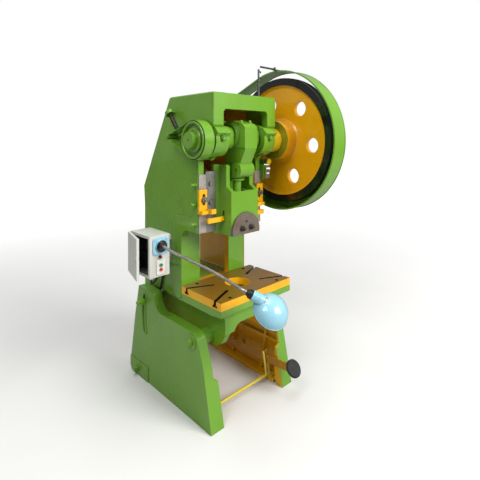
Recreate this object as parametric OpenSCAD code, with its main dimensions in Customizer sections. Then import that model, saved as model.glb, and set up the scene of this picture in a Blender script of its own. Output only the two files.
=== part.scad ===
// Inclinable open-back stamping press with a front crank, flywheel on the right and brake on the left.
// Millimetres. X to the right seen from the front, Y to the back, Z up.
// The origin is on the floor, below the crankshaft axis, in the middle plane of the frame.

/* [Frame] */
// Middle plane to the outer face of a side wall
frame_half_w = 197; // [190:1:205]
// Thickness of the side walls
wall_t = 30; // [24:1:34]
// Front face of the head, in front of the crankshaft
head_front = 68; // [60:1:76]
// Top of the frame
head_top = 1432; // [1415:1:1450]
// Back end of the flat top
head_back = 275; // [260:1:290]
// Half width of the window in the head
window_half = 140; // [125:1:145]
// Height of the top beam above the window
beam_h = 73; // [60:1:80]
// Back face of the frame below the slope
frame_back = 520; // [505:1:535]
// Height of the knee at the back
knee_z = 978; // [950:1:1000]
// Depth of the throat behind the crankshaft plane
throat = 172; // [165:1:180]
// Half width of the opening between the columns
column_gap_half = 93; // [88:1:100]
// Underside of the upper jaw
jaw_z = 797; // [790:1:804]
// Front face of the upper jaw, behind the crankshaft plane
jaw_front = 42; // [41:1:44]
// Half width of the lower box of the frame
base_half_w = 158; // [150:1:164]
// Underside of the lower box
base_z = 300; // [290:1:310]
// Height of the raised border round the throat
border_h = 4; // [2:0.5:5]

/* [Table] */
// Half length of the table, left to right
table_half_l = 220; // [205:1:235]
// Half depth of the table, front to back
table_half_d = 142.5; // [135:0.5:150]
// Top of the cast table
table_z = 507; // [500:1:515]
// Thickness of the cast table
table_t = 29; // [24:1:34]
// Thickness of the bolster plate
bolster_t = 34; // [30:1:38]
// Radius of the blank hole
blank_r = 58; // [50:1:65]
// Width of the T-slot neck
slot_w = 14; // [12:1:18]
// Angle of the T-slots to the long side
slot_angle = 25; // [20:1:30]

/* [Crankshaft] */
// Height of the crankshaft axis
crank_z = 1220; // [1210:1:1230]
// Throw of the crank, half the stroke
throw = 22.5; // [18:0.5:25]
// Radius of the main journals
journal_r = 40; // [36:0.5:42]
// Radius of the crank pin
pin_r = 40; // [38:0.5:42]
// Half length of the crank pin
pin_half_l = 54; // [50:1:58]
// Radius of the shaft end at the brake
brake_shaft_r = 37; // [34:0.5:39]
// Radius of the shaft inside the flywheel
wheel_shaft_r = 36; // [32:0.5:38]
// Wall of the bronze bushes
bush_t = 7; // [5:0.5:9]
// Radial running clearance
run_gap = 0.05; // [0.02:0.01:0.09]

/* [Bearings] */
// Inner end of the bearings, from the middle plane
bearing_in = 112; // [110:1:116]
// Outer radius of the bearing housings
housing_r = 76; // [72:1:80]
// Distance of the cap studs from the crankshaft axis
cap_stud_d = 62; // [60:1:66]
// Thickness of the cap flange
cap_flange = 40; // [36:1:44]

/* [Connecting rod] */
// Half width of the rod
rod_half_w = 39; // [36:1:42]
// Outer radius of the big end
big_end_r = 71; // [66:1:74]
// Front face of the big end
rod_front = 97; // [90:1:104]
// Height of the clamp barrel below the crank pin
barrel_drop = 161; // [156:1:166]
// Radius of the clamp barrel
barrel_r = 36; // [32:1:38]
// Radius of the adjusting screw
screw_r = 20; // [18:0.5:21]
// Radius of the ball
ball_r = 25; // [24:0.5:25.5]
// Height of the ball below the crank pin
ball_drop = 294; // [290:0.5:297]

/* [Slide] */
// Half width of the slide
slide_half_w = 85; // [82:1:88]
// Front face of the slide body
slide_front = 55; // [54:0.5:60]
// Underside of the slide at the top of its stroke
slide_z = 783; // [778:1:786]
// Height of the slide body
slide_body_h = 200; // [196:1:202]
// Height of the slide with its cheeks
slide_h = 323; // [310:1:330]
// Thickness of the cheeks
cheek_t = 22; // [18:1:23]
// Front face of the cheeks
cheek_front = 20; // [16:1:24]
// How far the V-tongues stand out
tongue = 21; // [18:1:23]
// Radius of the tool shank hole
shank_r = 15; // [14:0.5:16]
// Depth of the tool shank hole
shank_l = 50; // [46:1:54]

/* [Flywheel] */
// Gap between the frame and the flywheel rim
wheel_gap = 110; // [106:1:114]
// Width of the flywheel rim
rim_w = 58; // [54:1:62]
// Outer radius of the flywheel
wheel_r = 329; // [322:1:332]
// Inner radius of the rim
rim_in_r = 291; // [285:1:296]
// Radius of the hub
hub_r = 102; // [96:1:106]
// Radius of the holes in the web
web_hole_r = 38.5; // [34:0.5:42]
// Pitch radius of the holes in the web
web_hole_pcd_r = 203; // [195:1:210]
// Inner radius of the guard
guard_r = 362; // [356:1:368]
// How far the guard stands in front of the rim's left face
guard_lead = 28; // [24:1:34]
// Width of the guard
guard_w = 92; // [90:1:96]

/* [Brake] */
// Gap between the brake drum and the frame
drum_gap = 8; // [7:1:12]
// Width of the brake drum
drum_w = 57; // [52:1:58]
// Radius of the brake drum
drum_r = 82; // [78:1:86]

/* [Legs] */
// Gap between the frame and a leg
leg_gap = 13; // [12:1:18]
// Width of the leg edge
leg_edge = 46; // [43:1:46]
// Thickness of the leg web
leg_web = 16; // [14:1:20]
// Width of the foot
foot_w = 69; // [62:1:72]
// Pivot behind the crankshaft plane
pivot_y = 16; // [10:1:22]
// Height of the pivot
pivot_z = 341; // [336:1:346]
// Radius of the pivot pins
pivot_r = 12; // [10:0.5:14]
// Radius of the tilting slot
tilt_r = 410; // [402:1:416]
// Angle of the clamp bolt at rest
tilt_rest = 8.5; // [8:0.5:9]
// Largest tilt
tilt_max = 20; // [16:1:20]

/* [Pedal] */
// Plane of the pedal bar, inside the right leg
pedal_gap = 30; // [29:1:34]
// Depth of the pedal bar
pedal_h = 36; // [32:1:40]
// Pedal pivot behind the crankshaft plane
pedal_pivot_y = 430; // [420:1:440]
// Height of the pedal pivot
pedal_pivot_z = 86; // [80:1:90]

/* [Motor] */
// Motor axis above the sloping back
motor_h = 118; // [112:1:124]
// Radius of the motor body
motor_r = 84; // [78:1:88]
// Pitch radius of the motor pulley
pulley_r = 40; // [36:1:44]

/* [Electrical box] */
// Width of the box
box_w = 102; // [96:1:110]
// Height of the box
box_h = 187; // [180:1:195]
// Depth of the box
box_d = 172; // [165:1:180]
// Gap between the box and the side wall
box_gap = 75; // [70:1:80]
// How far the door stands open
door_ajar = 15; // [5:1:25]

/* [Lamp] */
// Radius of the flexible arm
arm_r = 6.5; // [5.5:0.5:8]
// Radius of the shade's rim
shade_r = 73; // [66:1:78]

/* [Hidden] */
$fn = 48;
green = [0.44, 0.66, 0.24];
orange = [0.72, 0.47, 0.04];
yellow = [0.95, 0.70, 0.08];
steel = [0.55, 0.55, 0.56];
leg_out = frame_half_w + leg_gap + leg_edge;
drum_x = -frame_half_w - drum_gap - drum_w;
wheel_x = frame_half_w + wheel_gap;
guard_x = wheel_x - guard_lead;
pedal_x = leg_out - leg_edge - pedal_gap;
pin_z = crank_z + throw;
slide_top = slide_z + slide_body_h;
ball_z = pin_z - ball_drop;
barrel_z = pin_z - barrel_drop;
bolster_z = table_z + bolster_t;
slope_dy = (frame_back + 8 - head_back) / (head_top - knee_z);
slope_a = atan(slope_dy);
shell_gap = 0.3;
leg_in = leg_out - leg_edge;
guide_y0 = 30;
gib_front = 40;
stop_x = frame_half_w - 19;
stop_z = 886;
gib_back = 70;
gib_out = frame_half_w - 40;
gib_z0 = jaw_z;
gib_z1 = 1076;
strip_front = 38;
strip_z1 = 1064;

// Points on an arc, in degrees
function arc(c, r, a0, a1, n = 6) =
    [for (i = [0:n]) let (a = a0 + (a1 - a0) * i / n) c + r * [cos(a), sin(a)]];
function unit(v) = v / norm(v);
function dot(a, b) = a * b;
function bezier(p, t) = pow(1 - t, 3) * p[0] + 3 * t * pow(1 - t, 2) * p[1]
    + 3 * t * t * (1 - t) * p[2] + t * t * t * p[3];
// Smooth path through hand-chosen points
function spline(p, n) = [for (i = [0:len(p) - 2]) for (k = [0:n - 1])
    let (t = k / n, a = p[max(i - 1, 0)], b = p[i], c = p[i + 1], d = p[min(i + 2, len(p) - 1)])
    0.5 * ((2 * b) + (c - a) * t + (2 * a - 5 * b + 4 * c - d) * t * t + (3 * b - a - 3 * c + d) * t * t * t),
    p[len(p) - 1]];

// Profile in Y and Z, extruded along X
module along_x(x0, x1) {
    translate([x0, 0, 0]) rotate([90, 0, 90]) linear_extrude(x1 - x0) children();
}
// Profile in X and Z, extruded along Y
module along_y(y0, y1) {
    translate([0, y1, 0]) rotate([90, 0, 0]) linear_extrude(y1 - y0) children();
}
module both_sides() {
    children();
    mirror([1, 0, 0]) children();
}
module rod_x(x0, x1, y, z, r) {
    translate([x0, y, z]) rotate([0, 90, 0]) cylinder(h = x1 - x0, r = r);
}
module rod_y(y0, y1, x, z, r) {
    translate([x, y1, z]) rotate([90, 0, 0]) cylinder(h = y1 - y0, r = r);
}
module rod_z(z0, z1, x, y, r) {
    translate([x, y, z0]) cylinder(h = z1 - z0, r = r);
}
module box(x0, x1, y0, y1, z0, z1) {
    translate([x0, y0, z0]) cube([x1 - x0, y1 - y0, z1 - z0]);
}
// Rectangle with rounded corners, in the drawing plane
module round_rect(w, h, r) {
    union() {
        square([w - 2 * r, h], center = true);
        square([w, h - 2 * r], center = true);
        for (sx = [-1, 1]) for (sy = [-1, 1]) translate([sx * (w / 2 - r), sy * (h / 2 - r)]) circle(r);
    }
}
// Hexagon nut standing on z = 0
module nut(af, h, bore) {
    difference() {
        cylinder(h = h, r = af / sqrt(3), $fn = 6);
        translate([0, 0, -1]) cylinder(h = h + 2, r = bore);
    }
}
// Stud with one nut: the nut stands on z = 0 and the stud passes it
module stud_nut(r, below, above, af) {
    difference() {
        translate([0, 0, -below]) cylinder(h = below + above, r = r);
        translate([0, 0, above - 0.5]) difference() {
            cylinder(h = 1, r = r + 1);
            translate([0, 0, -1]) cylinder(h = 3, r = r - 0.8);
        }
    }
    nut(af, r * 1.6, r);
}
// Hexagon head bolt: the head stands on z = 0
module hex_bolt(r, below, head_af) {
    translate([0, 0, -below]) cylinder(h = below + 1, r = r);
    cylinder(h = r * 1.4, r = head_af / sqrt(3), $fn = 6);
}
// Round tube along a path of points
module sweep(path, r, sides = 12, up = [0, 0, 1]) {
    n = len(path);
    rings = [for (i = [0:n - 1])
        let (t = unit(path[min(i + 1, n - 1)] - path[max(i - 1, 0)]),
             a = unit(cross(t, up)), b = cross(t, a))
        for (k = [0:sides - 1]) path[i] + r * (cos(360 * k / sides) * a + sin(360 * k / sides) * b)];
    faces = [for (i = [0:n - 2]) for (k = [0:sides - 1]) let (k2 = (k + 1) % sides)
        [i * sides + k, i * sides + k2, (i + 1) * sides + k2, (i + 1) * sides + k]];
    ends = [[for (k = [sides - 1:-1:0]) k], [for (k = [0:sides - 1]) (n - 1) * sides + k]];
    polyhedron(rings, concat(faces, ends), convexity = 4);
}

// Legs

// Outline of a leg in Y and Z, every edge moved in by d
function leg_outline(d) = concat(
    [[-122 + d, d], [-66 + 0.98 * d, 262]],
    arc([8, 345], 38 - d, 162, 90, 5),
    [[264, 383 - d]],
    arc([266, 443], 60 + d, -90, -20, 5),
    arc([352, 444], 22 - min(d, 14), 160, 90, 4),
    [[479 - d, 466 - d], [519 - d, 302], [540 - d, 191], [565 - d, 67], [565 - d, d + 19], [545 - d, d]]);

// Ring sector about the pivot, for the tilting slot
module tilt_slot(w) {
    a0 = tilt_rest - tilt_max - 1;
    a1 = tilt_rest + 4;
    translate([pivot_y, pivot_z]) {
        intersection() {
            difference() {
                circle(tilt_r + w / 2, $fn = 96);
                circle(tilt_r - w / 2, $fn = 96);
            }
            polygon([[0, 0], 600 * [cos(a0), sin(a0)], 600 * [cos(a1), sin(a1)]]);
        }
        for (a = [a0, a1]) translate(tilt_r * [cos(a), sin(a)]) circle(w / 2);
    }
}

module leg_casting() {
    rib_t = 10;
    rim_t = 14;
    stud_r = 10;
    difference() {
        union() {
            along_x(-leg_out, -leg_out + leg_web) polygon(leg_outline(0));
            along_x(-leg_out, -leg_in) difference() {
                polygon(leg_outline(0));
                polygon(leg_outline(rim_t));
            }
            // Foot along the floor, wider than the edge of the leg
            along_x(-leg_out, -leg_out + foot_w) intersection() {
                polygon(leg_outline(0));
                translate([-200, 0]) square([800, 16]);
            }
            // The front edge widens towards the foot
            along_y(-130, -70) polygon([[-leg_in - 1, 0], [-leg_out + foot_w, 0], [-leg_out + foot_w, 182],
                [-leg_in - 1, 197]]);
            // Ribs inside
            along_x(-leg_out + 2, -leg_in - 12) intersection() {
                polygon(leg_outline(2));
                union() {
                    translate([-120, 186]) square([700, rib_t]);
                    polygon([[10, 300], [20, 390], [32, 390], [24, 300], [70, 0], [58, 0]]);
                    polygon([[240, 390], [252, 390], [300, 0], [288, 0]]);
                }
            }
            // Raised pads outside
            along_x(-leg_out - border_h, -leg_out + 1) translate([pivot_y, pivot_z]) circle(34);
            along_x(-leg_out - border_h, -leg_out + 1) intersection() {
                polygon(leg_outline(0));
                translate([384, 0]) square([200, 75]);
            }
            along_x(-leg_out - border_h, -leg_out + 1) tilt_slot(2 * stud_r + 18);
            rod_x(-leg_out + leg_web - 1, -leg_in - 10, 490, 33, 20);
            rod_x(-leg_out + leg_web - 1, -leg_in, pivot_y, pivot_z, 30);
        }
        // Front edge follows the outline
        along_x(-leg_out + 1, 0) polygon([[-200, -5], [-122, -5], [-122, 0], [-66, 262], [-66, 400], [-200, 400]]);
        along_x(-leg_out - 10, -leg_in + 2) tilt_slot(2 * stud_r + 2);
        rod_x(-leg_out - 10, 0, pivot_y, pivot_z, pivot_r);
        rod_x(-leg_out - 10, 0, 490, 33, stud_r);
        // Anchor slots, open to the inner edge of the foot
        for (y = [-72, 470]) {
            rod_z(-1, 17, -leg_out + foot_w - 24, y, 9);
            box(-leg_out + foot_w - 24, 0, y - 9, y + 9, -1, 17);
        }
    }
}

module left_leg() color(green) leg_casting();
module right_leg() color(green) difference() {
    union() {
        mirror([1, 0, 0]) leg_casting();
        // Boss that carries the pedal
        rod_x(pedal_x + 5, leg_out - leg_web + 1, pedal_pivot_y, pedal_pivot_z, 16);
    }
    rod_x(pedal_x, leg_out + 6, pedal_pivot_y, pedal_pivot_z, 8);
}

module tie_rod() color(green) {
    rod_x(-leg_out - 26, leg_out + 26, 490, 33, 10);
    both_sides() translate([-leg_out - border_h, 490, 33]) rotate([0, -90, 0]) nut(30, 16, 10);
    both_sides() translate([-leg_in + 10, 490, 33]) rotate([0, 90, 0]) nut(28, 16, 10);
}

// Yellow cross rod near the floor, bent up beside the pedal, and a second upright on a foot plate
guide_y = -28;
guide_z = 32;
guide_r = 7;
guide_gap = 11;
guide_lean = 11;
module pedal_guide() color(yellow) {
    left_x = pedal_x - guide_gap;
    rod_x(-leg_out + leg_web, left_x - 14, guide_y, guide_z, guide_r);
    translate([left_x - 14, guide_y, guide_z + 14]) rotate([90, 90, 0])
        rotate_extrude(angle = 90) translate([14, 0]) circle(guide_r - 1);
    for (leg = [[left_x, guide_z + 14], [pedal_x + guide_gap + 3, 20]])
        translate([leg[0], guide_y, leg[1]]) rotate([-guide_lean, 0, 0])
            cylinder(h = 146 - leg[1], r = guide_r - 1);
    translate([left_x, guide_y, guide_z + 14]) sphere(guide_r - 1);
    box(pedal_x + guide_gap - 3, pedal_x + guide_gap + 34, guide_y - 16, guide_y + 14, 16, 24);
    rod_x(left_x - 14, pedal_x + guide_gap + 4, guide_y, guide_z, guide_r - 0.5);
}

module pivot_pins() color(green) {
    both_sides() frame_pin();
    pedal_pin();
}
module frame_pin() {
    rod_x(-leg_out - 22, -base_half_w + 20, pivot_y, pivot_z, pivot_r - run_gap);
    translate([-leg_out - border_h, pivot_y, pivot_z]) rotate([0, -90, 0]) nut(30, 16, pivot_r - run_gap);
}
// Pin of the pedal, with its two collars
module pedal_pin() color(green) {
    rod_x(pedal_x - 8, leg_out + 17, pedal_pivot_y, pedal_pivot_z, 8 - run_gap);
    rod_x(pedal_x - 8, pedal_x - 4.3, pedal_pivot_y, pedal_pivot_z, 13);
    translate([leg_out + border_h, pedal_pivot_y, pedal_pivot_z]) rotate([0, 90, 0]) nut(24, 10, 8 - run_gap);
}

// Frame

// Side of the frame in Y and Z
function wall_outline() = concat(
    [[-head_front, head_top - 8], [-head_front + 8, head_top], [head_back - 8, head_top], [head_back, head_top - 6],
     [frame_back + 8, knee_z], [frame_back, knee_z - 120], [frame_back, 440], [420, 440], [420, table_z - 40],
     [throat, table_z - 40]],
    arc([throat - 46, jaw_z - 46], 46, 0, 90, 6),
    [[jaw_front, jaw_z], [jaw_front, 1125], [95, 1125], [-52, 1272], [-head_front, 1272]]);

// Lower box in Y and Z
function base_outline() = concat(
    [[-96, table_z - table_t + 1], [-96, 370], [-70, 325]],
    arc([-20, 330], 30, 230, 270, 3),
    [[430, base_z]],
    arc([430, 390], 90, -90, 0, 5),
    [[frame_back, 470], [frame_back, table_z - table_t + 1]]);

// Border round the throat in Y and Z
border_w = 78;
module border_shape() {
    difference() {
        polygon(concat([[jaw_front, jaw_z + 70], [jaw_front, jaw_z]],
            arc([throat - 46, jaw_z - 46], 46, 90, 0, 6),
            [[throat, table_z - table_t], [-96, table_z - table_t], [-96, 440], [60, 440]],
            arc([throat + border_w - 90, 530], 90, -90, 0, 6),
            arc([throat + border_w - 64, jaw_z + 6], 64, 0, 90, 5)));
        translate([-110, 400]) square([340, 62]);
    }
}

// Half planes of the tilted bearing joint
module joint_side(s) {
    translate([0, crank_z]) rotate(-45) translate([-300, s > 0 ? 0 : -300]) square([600, 300]);
}

module window_cut() {
    translate([0, head_top - beam_h - 90]) {
        translate([0, -100]) square([2 * window_half, 260], center = true);
        translate([0, 0]) round_rect(2 * window_half, 180, 18);
    }
}

module side_wall() {
    // Wall and border
    along_x(-frame_half_w, -frame_half_w + wall_t) polygon(wall_outline());
    along_x(-frame_half_w - border_h, -frame_half_w + 1) border_shape();
    // Raised strip with the gib adjusting screws
    box(-frame_half_w - border_h, -frame_half_w + 1, jaw_front, 82, jaw_z + 40, 1062);
    // Post of the head
    box(-frame_half_w, -window_half, -head_front, -head_front + 40, 1272, head_top - 20);
    // Column flange beside the throat
    box(-frame_half_w, -column_gap_half, throat, throat + 32, table_z - table_t, jaw_z);
    // Fixed half of the bearing
    along_x(-frame_half_w, -bearing_in) intersection() {
        union() {
            translate([0, crank_z]) circle(housing_r);
            translate([-66, 1225]) square([60, 51]);
        }
        joint_side(1);
    }
    // Guide pad behind the gib, and the web that carries it
    box(-frame_half_w + 5, -105, gib_back, gib_back + 42, jaw_z, gib_z1);
    // Lower box wall and the shoulder that widens it to the upper wall
    along_x(-base_half_w, -base_half_w + wall_t) polygon(base_outline());
    along_y(throat - 10, frame_back) polygon(concat(
        [[-base_half_w + wall_t, table_z - table_t], [-base_half_w + wall_t, 425], [-base_half_w, 410]],
        arc([-base_half_w - 30, 425 - 0], 30, 0, 60, 3),
        [[-frame_half_w, 465], [-frame_half_w, table_z - table_t], [-frame_half_w + wall_t, table_z]]));
    // Gusset under the table's end
    along_y(-96, throat) polygon(concat([[-base_half_w + 5, table_z - table_t + 1], [-base_half_w + 5, 418]],
        arc([-base_half_w - 46, 424], 46, 0, 80, 6), [[-table_half_l, 473], [-table_half_l, table_z - table_t + 1]]));
    // Pivot boss
    rod_x(-leg_in + shell_gap, -base_half_w + 20, pivot_y, pivot_z, 34);
}

module frame_casting() color(green) difference() {
    union() {
        both_sides() side_wall();
        // Head: front beam, top, sloping back
        along_y(-head_front, -head_front + 40) difference() {
            translate([-frame_half_w, 1272]) square([2 * frame_half_w, head_top - 1272 - 6]);
            window_cut();
        }
        box(-frame_half_w, frame_half_w, -head_front + 8, head_back - 8, head_top - 30, head_top);
        along_x(-frame_half_w + 2, frame_half_w - 2) polygon([[head_back - 26, head_top - 2],
            [head_back - 8, head_top - 2], [head_back, head_top - 6], [frame_back + 8, knee_z],
            [frame_back + 4, jaw_z + 60], [frame_back - 18, jaw_z + 60], [frame_back - 16, knee_z - 6]]);
        // Floor of the upper jaw behind the slide, and a cross web above it
        box(-frame_half_w + 2, frame_half_w - 2, gib_back + 34, frame_back - 10, jaw_z, jaw_z + 22);
        box(-frame_half_w + 2, frame_half_w - 2, 300, 320, jaw_z, 1000);
        // Table, its apron with the arch, and the lower cross web
        box(-table_half_l, table_half_l, -table_half_d, table_half_d, table_z - table_t, table_z);
        box(-frame_half_w, frame_half_w, table_half_d - 1, frame_back - 20, table_z - table_t, table_z - 4);
        along_y(-96, -70) polygon(concat([[-base_half_w, table_z - table_t + 1], [-base_half_w, 371], [-112, 371]],
            arc([-64, 362], 40, 165, 95, 4), arc([64, 362], 40, 85, 15, 4),
            [[112, 371], [base_half_w, 371], [base_half_w, table_z - table_t + 1]]));
        box(-base_half_w + 2, base_half_w - 2, frame_back - 24, frame_back, 400, table_z - 6);
        box(-base_half_w + 2, base_half_w - 2, 250, 272, base_z + 12, table_z - table_t + 2);
        // Oil lip round the bearing housings on top of the head posts
        both_sides() box(-frame_half_w + 4, -bearing_in, -head_front + 2, -30, 1258, 1276);
    }
    // Main bearing bores
    rod_x(-frame_half_w - 5, frame_half_w + 5, 0, crank_z, journal_r + bush_t);
    // Room for the bearing caps
    both_sides() along_x(-frame_half_w - 5, -bearing_in + 5) intersection() {
        translate([0, crank_z]) rotate(-45) translate([-100, -90]) square([200, 90]);
        translate([-300, 1125]) square([600, 400]);
    }
    // Blank hole through the table
    rod_z(table_z - table_t - 1, table_z + 1, 0, 0, blank_r + 14);
    // Recess for the gib strips
    both_sides() box(-frame_half_w - 1, -gib_out + 0.5, 0, 48, jaw_z - 1, strip_z1);
    // Pivot bores and tilt stud holes
    rod_x(-leg_out, leg_out, pivot_y, pivot_z, pivot_r);
    // Holes for the gib adjusting screws, left side only
    for (z = [840, 929, 1018]) rod_x(-frame_half_w - 10, -gib_out - 4, 55, z, 6);
    // Top edge rounding seen at the front corners
    both_sides() translate([-frame_half_w, 0, head_top]) rotate([0, 45, 0]) cube([8, 1400, 8], center = true);
}

// Studs through the slots of the legs, fixed in bosses of the frame
tilt_y = pivot_y + tilt_r * cos(tilt_rest);
tilt_z = pivot_z + tilt_r * sin(tilt_rest);
module tilt_studs() color(green) both_sides() {
    rod_x(-leg_out - 42, -base_half_w, tilt_y, tilt_z, 9.5);
    // Distance sleeve on the stud between frame and leg
    rod_x(-leg_out + leg_web + 0.4, -base_half_w, tilt_y, tilt_z, 15);
    translate([-leg_out - border_h - 0.4, tilt_y, tilt_z]) rotate([0, -90, 0]) {
        difference() {
            cylinder(h = 4, r = 17);
            translate([0, 0, -1]) cylinder(h = 6, r = 9.5);
        }
        translate([0, 0, 4]) nut(30, 16, 9.5);
    }
}

// Table plate

module bolster_plate() color(yellow) difference() {
    box(-table_half_l, table_half_l, -table_half_d, table_half_d, table_z, bolster_z);
    rod_z(table_z - 1, bolster_z + 1, 0, 0, blank_r);
    for (a = [slot_angle, -slot_angle, 180 - slot_angle, 180 + slot_angle]) rotate(a) {
        box(112, 300, -slot_w / 2, slot_w / 2, bolster_z - 24, bolster_z + 1);
        box(112, 300, -slot_w, slot_w, bolster_z - 28, bolster_z - 17);
    }
    for (x = [-150, 150]) for (y = [-118, 118]) {
        rod_z(table_z - 1, bolster_z + 1, x, y, 5.5);
        rod_z(bolster_z - 10, bolster_z + 1, x, y, 9);
    }
}

// Bearings

module cap_shape() {
    translate([0, crank_z]) rotate(-45) {
        intersection() {
            circle(housing_r);
            translate([-100, -100]) square([200, 100]);
        }
        translate([-86, -cap_flange]) square([172, cap_flange]);
    }
}

module at_cap_stud(x, s) {
    translate([x, 0, crank_z]) rotate([-45, 0, 0]) translate([0, s * cap_stud_d, -cap_flange + 2])
        rotate([180, 0, 0]) children();
}

module bearing_caps() color(green) both_sides() difference() {
    along_x(-frame_half_w + 9, -bearing_in + 0) cap_shape();
    rod_x(-frame_half_w, -bearing_in + 1, 0, crank_z, journal_r + bush_t);
    for (s = [-1, 1]) at_cap_stud(-150, s) {
        cylinder(h = 60, r = 17);
        translate([0, 0, -60]) cylinder(h = 70, r = 8);
    }
}

module bearing_bushes() color([0.72, 0.53, 0.25]) both_sides() difference() {
    rod_x(-frame_half_w + 5, -bearing_in, 0, crank_z, journal_r + bush_t);
    rod_x(-frame_half_w, -bearing_in + 5, 0, crank_z, journal_r + run_gap);
}

module cap_studs() color(green) both_sides() for (s = [-1, 1]) at_cap_stud(-150, s) stud_nut(8, 38, 24, 24);

// Guides

// Section of the V-tongue in X and Y, grown by g
module tongue_shape(g) {
    x1 = slide_half_w + tongue + g;
    polygon([[slide_half_w - 4, guide_y0 - 1.3 * g - 3.05], [x1, guide_y0 + 16 - 0.5 * g],
        [x1, guide_y0 + 34 + 0.5 * g], [slide_half_w - 4, guide_y0 + 50 + 1.3 * g + 3.05]]);
}

module gib() {
    translate([0, 0, gib_z0 - 2]) linear_extrude(gib_z1 - gib_z0 + 2) difference() {
        translate([slide_half_w + 4, gib_front]) square([gib_out - slide_half_w - 4.5, gib_back - gib_front]);
        tongue_shape(shell_gap);
    }
}
gib_bolt_x = gib_out - 27;
gib_bolt_z = [846, 933, 1020];
module gib_body() {
    difference() {
        gib();
        for (z = gib_bolt_z) rod_y(gib_front - 1, gib_back + 1, gib_bolt_x, z, 6);
    }
}
module gib_right() color(steel) gib_body();
module gib_left() color(steel) mirror([1, 0, 0]) gib_body();

module gib_strips() color([0.62, 0.6, 0.58]) both_sides() difference() {
    box(-frame_half_w, -gib_out + 0.5, strip_front, 48, gib_z0, strip_z1);
    rod_y(0, 60, -stop_x, 951, 7);
}

module gib_bolts() color(steel) both_sides() for (z = gib_bolt_z)
    translate([-gib_bolt_x, gib_front, z]) rotate([90, 0, 0]) hex_bolt(6, 30, 19);

module gib_adjusters() color(green) for (z = [840, 929, 1018]) {
    rod_x(-frame_half_w - 26, -gib_out - 0.2, 55, z, 5.9);
    translate([-frame_half_w - border_h, 55, z]) rotate([0, -90, 0]) nut(19, 9, 5.9);
    translate([-frame_half_w - 26, 55, z]) rotate([0, -90, 0]) cylinder(h = 6, r = 8, $fn = 4);
}

// Crankshaft and what turns with it

module oval_web(x0, x1, r) {
    along_x(x0, x1) {
        translate([0, crank_z]) circle(r);
        translate([0, pin_z]) circle(r);
        translate([-r, crank_z]) square([2 * r, throw]);
    }
}

module crankshaft() color(steel) difference() {
    union() {
        rod_x(drum_x - 21, drum_x + 3, 0, crank_z, brake_shaft_r - 0.5);
        rod_x(drum_x + 2, -frame_half_w - 1, 0, crank_z, brake_shaft_r);
        rod_x(-frame_half_w - 2, -pin_half_l - 2, 0, crank_z, journal_r);
        oval_web(-bearing_in + 3, -pin_half_l, journal_r + 2);
        rod_x(-pin_half_l - 1, pin_half_l + 1, 0, pin_z, pin_r);
        oval_web(pin_half_l, bearing_in - 3, journal_r + 2);
        rod_x(pin_half_l + 2, frame_half_w + 3, 0, crank_z, journal_r);
        rod_x(frame_half_w + 2, 254, 0, crank_z, 62);
        rod_x(250, wheel_x + rim_w + 16, 0, crank_z, wheel_shaft_r);
        rod_x(wheel_x + rim_w + 2, wheel_x + rim_w + 10, 0, crank_z, 52);
        translate([wheel_x + rim_w + 10, 0, crank_z]) rotate([0, 90, 0]) cylinder(h = 14, r = 30, $fn = 6);
    }
    // Keyway of the drum, and the centre hole of the visible end
    box(drum_x + 2, drum_x + drum_w + 4.3, -6.1, 6.1, crank_z + brake_shaft_r - 6.1, crank_z + brake_shaft_r + 5);
    rod_x(drum_x - 22, drum_x - 16, 0, crank_z, 4);
}

module about_crank() {
    translate([0, 0, crank_z]) rotate([0, 90, 0]) children();
}

module brake_drum() color(green) {
    difference() {
        about_crank() translate([0, 0, drum_x]) rotate_extrude($fn = 96) polygon([[brake_shaft_r, 4], [52, 4],
            [54, 6], [54, 16], [drum_r - 12, 16], [drum_r - 10, 2], [drum_r - 8, 0], [drum_r - 2, 0], [drum_r, 2],
            [drum_r, drum_w], [drum_r - 10, drum_w], [drum_r - 10, 34], [56, 30], [56, drum_w + 4],
            [brake_shaft_r, drum_w + 4]]);
        box(drum_x - 5, drum_x + drum_w + 9, -6, 6, crank_z + 20, crank_z + brake_shaft_r + 5);
    }
    // Key
    box(drum_x + 4, drum_x + drum_w, -6, 6, crank_z + brake_shaft_r - 6, crank_z + brake_shaft_r + 3.5);
}

// Flywheel

module flywheel() color(orange) difference() {
    about_crank() rotate_extrude($fn = 128) polygon([[wheel_shaft_r + bush_t, 258], [hub_r - 2, 258],
        [hub_r, 260], [hub_r + 5, wheel_x + 10], [hub_r + 16, wheel_x + 16], [rim_in_r - 14, wheel_x + 16],
        [rim_in_r - 2, wheel_x + 6], [rim_in_r, wheel_x], [wheel_r - 2, wheel_x], [wheel_r, wheel_x + 2],
        [wheel_r, wheel_x + 14], [wheel_r - 10, wheel_x + 17], [wheel_r - 10, wheel_x + 24],
        [wheel_r, wheel_x + 27], [wheel_r, wheel_x + 31], [wheel_r - 10, wheel_x + 34],
        [wheel_r - 10, wheel_x + 41], [wheel_r, wheel_x + 44], [wheel_r, wheel_x + rim_w - 2],
        [wheel_r - 2, wheel_x + rim_w], [rim_in_r, wheel_x + rim_w], [rim_in_r - 6, wheel_x + 42],
        [hub_r + 10, wheel_x + 40], [hub_r, wheel_x + rim_w], [wheel_shaft_r + bush_t, wheel_x + rim_w]]);
    for (i = [0:5]) about_crank() rotate([0, 0, 37.5 + 60 * i]) translate([web_hole_pcd_r, 0, wheel_x - 10])
        cylinder(h = rim_w + 20, r = web_hole_r);
}

module flywheel_bush() color([0.72, 0.53, 0.25]) about_crank() difference() {
    translate([0, 0, 258]) cylinder(h = wheel_x + rim_w - 258, r = wheel_shaft_r + bush_t);
    translate([0, 0, 250]) cylinder(h = 200, r = wheel_shaft_r + run_gap);
}

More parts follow.
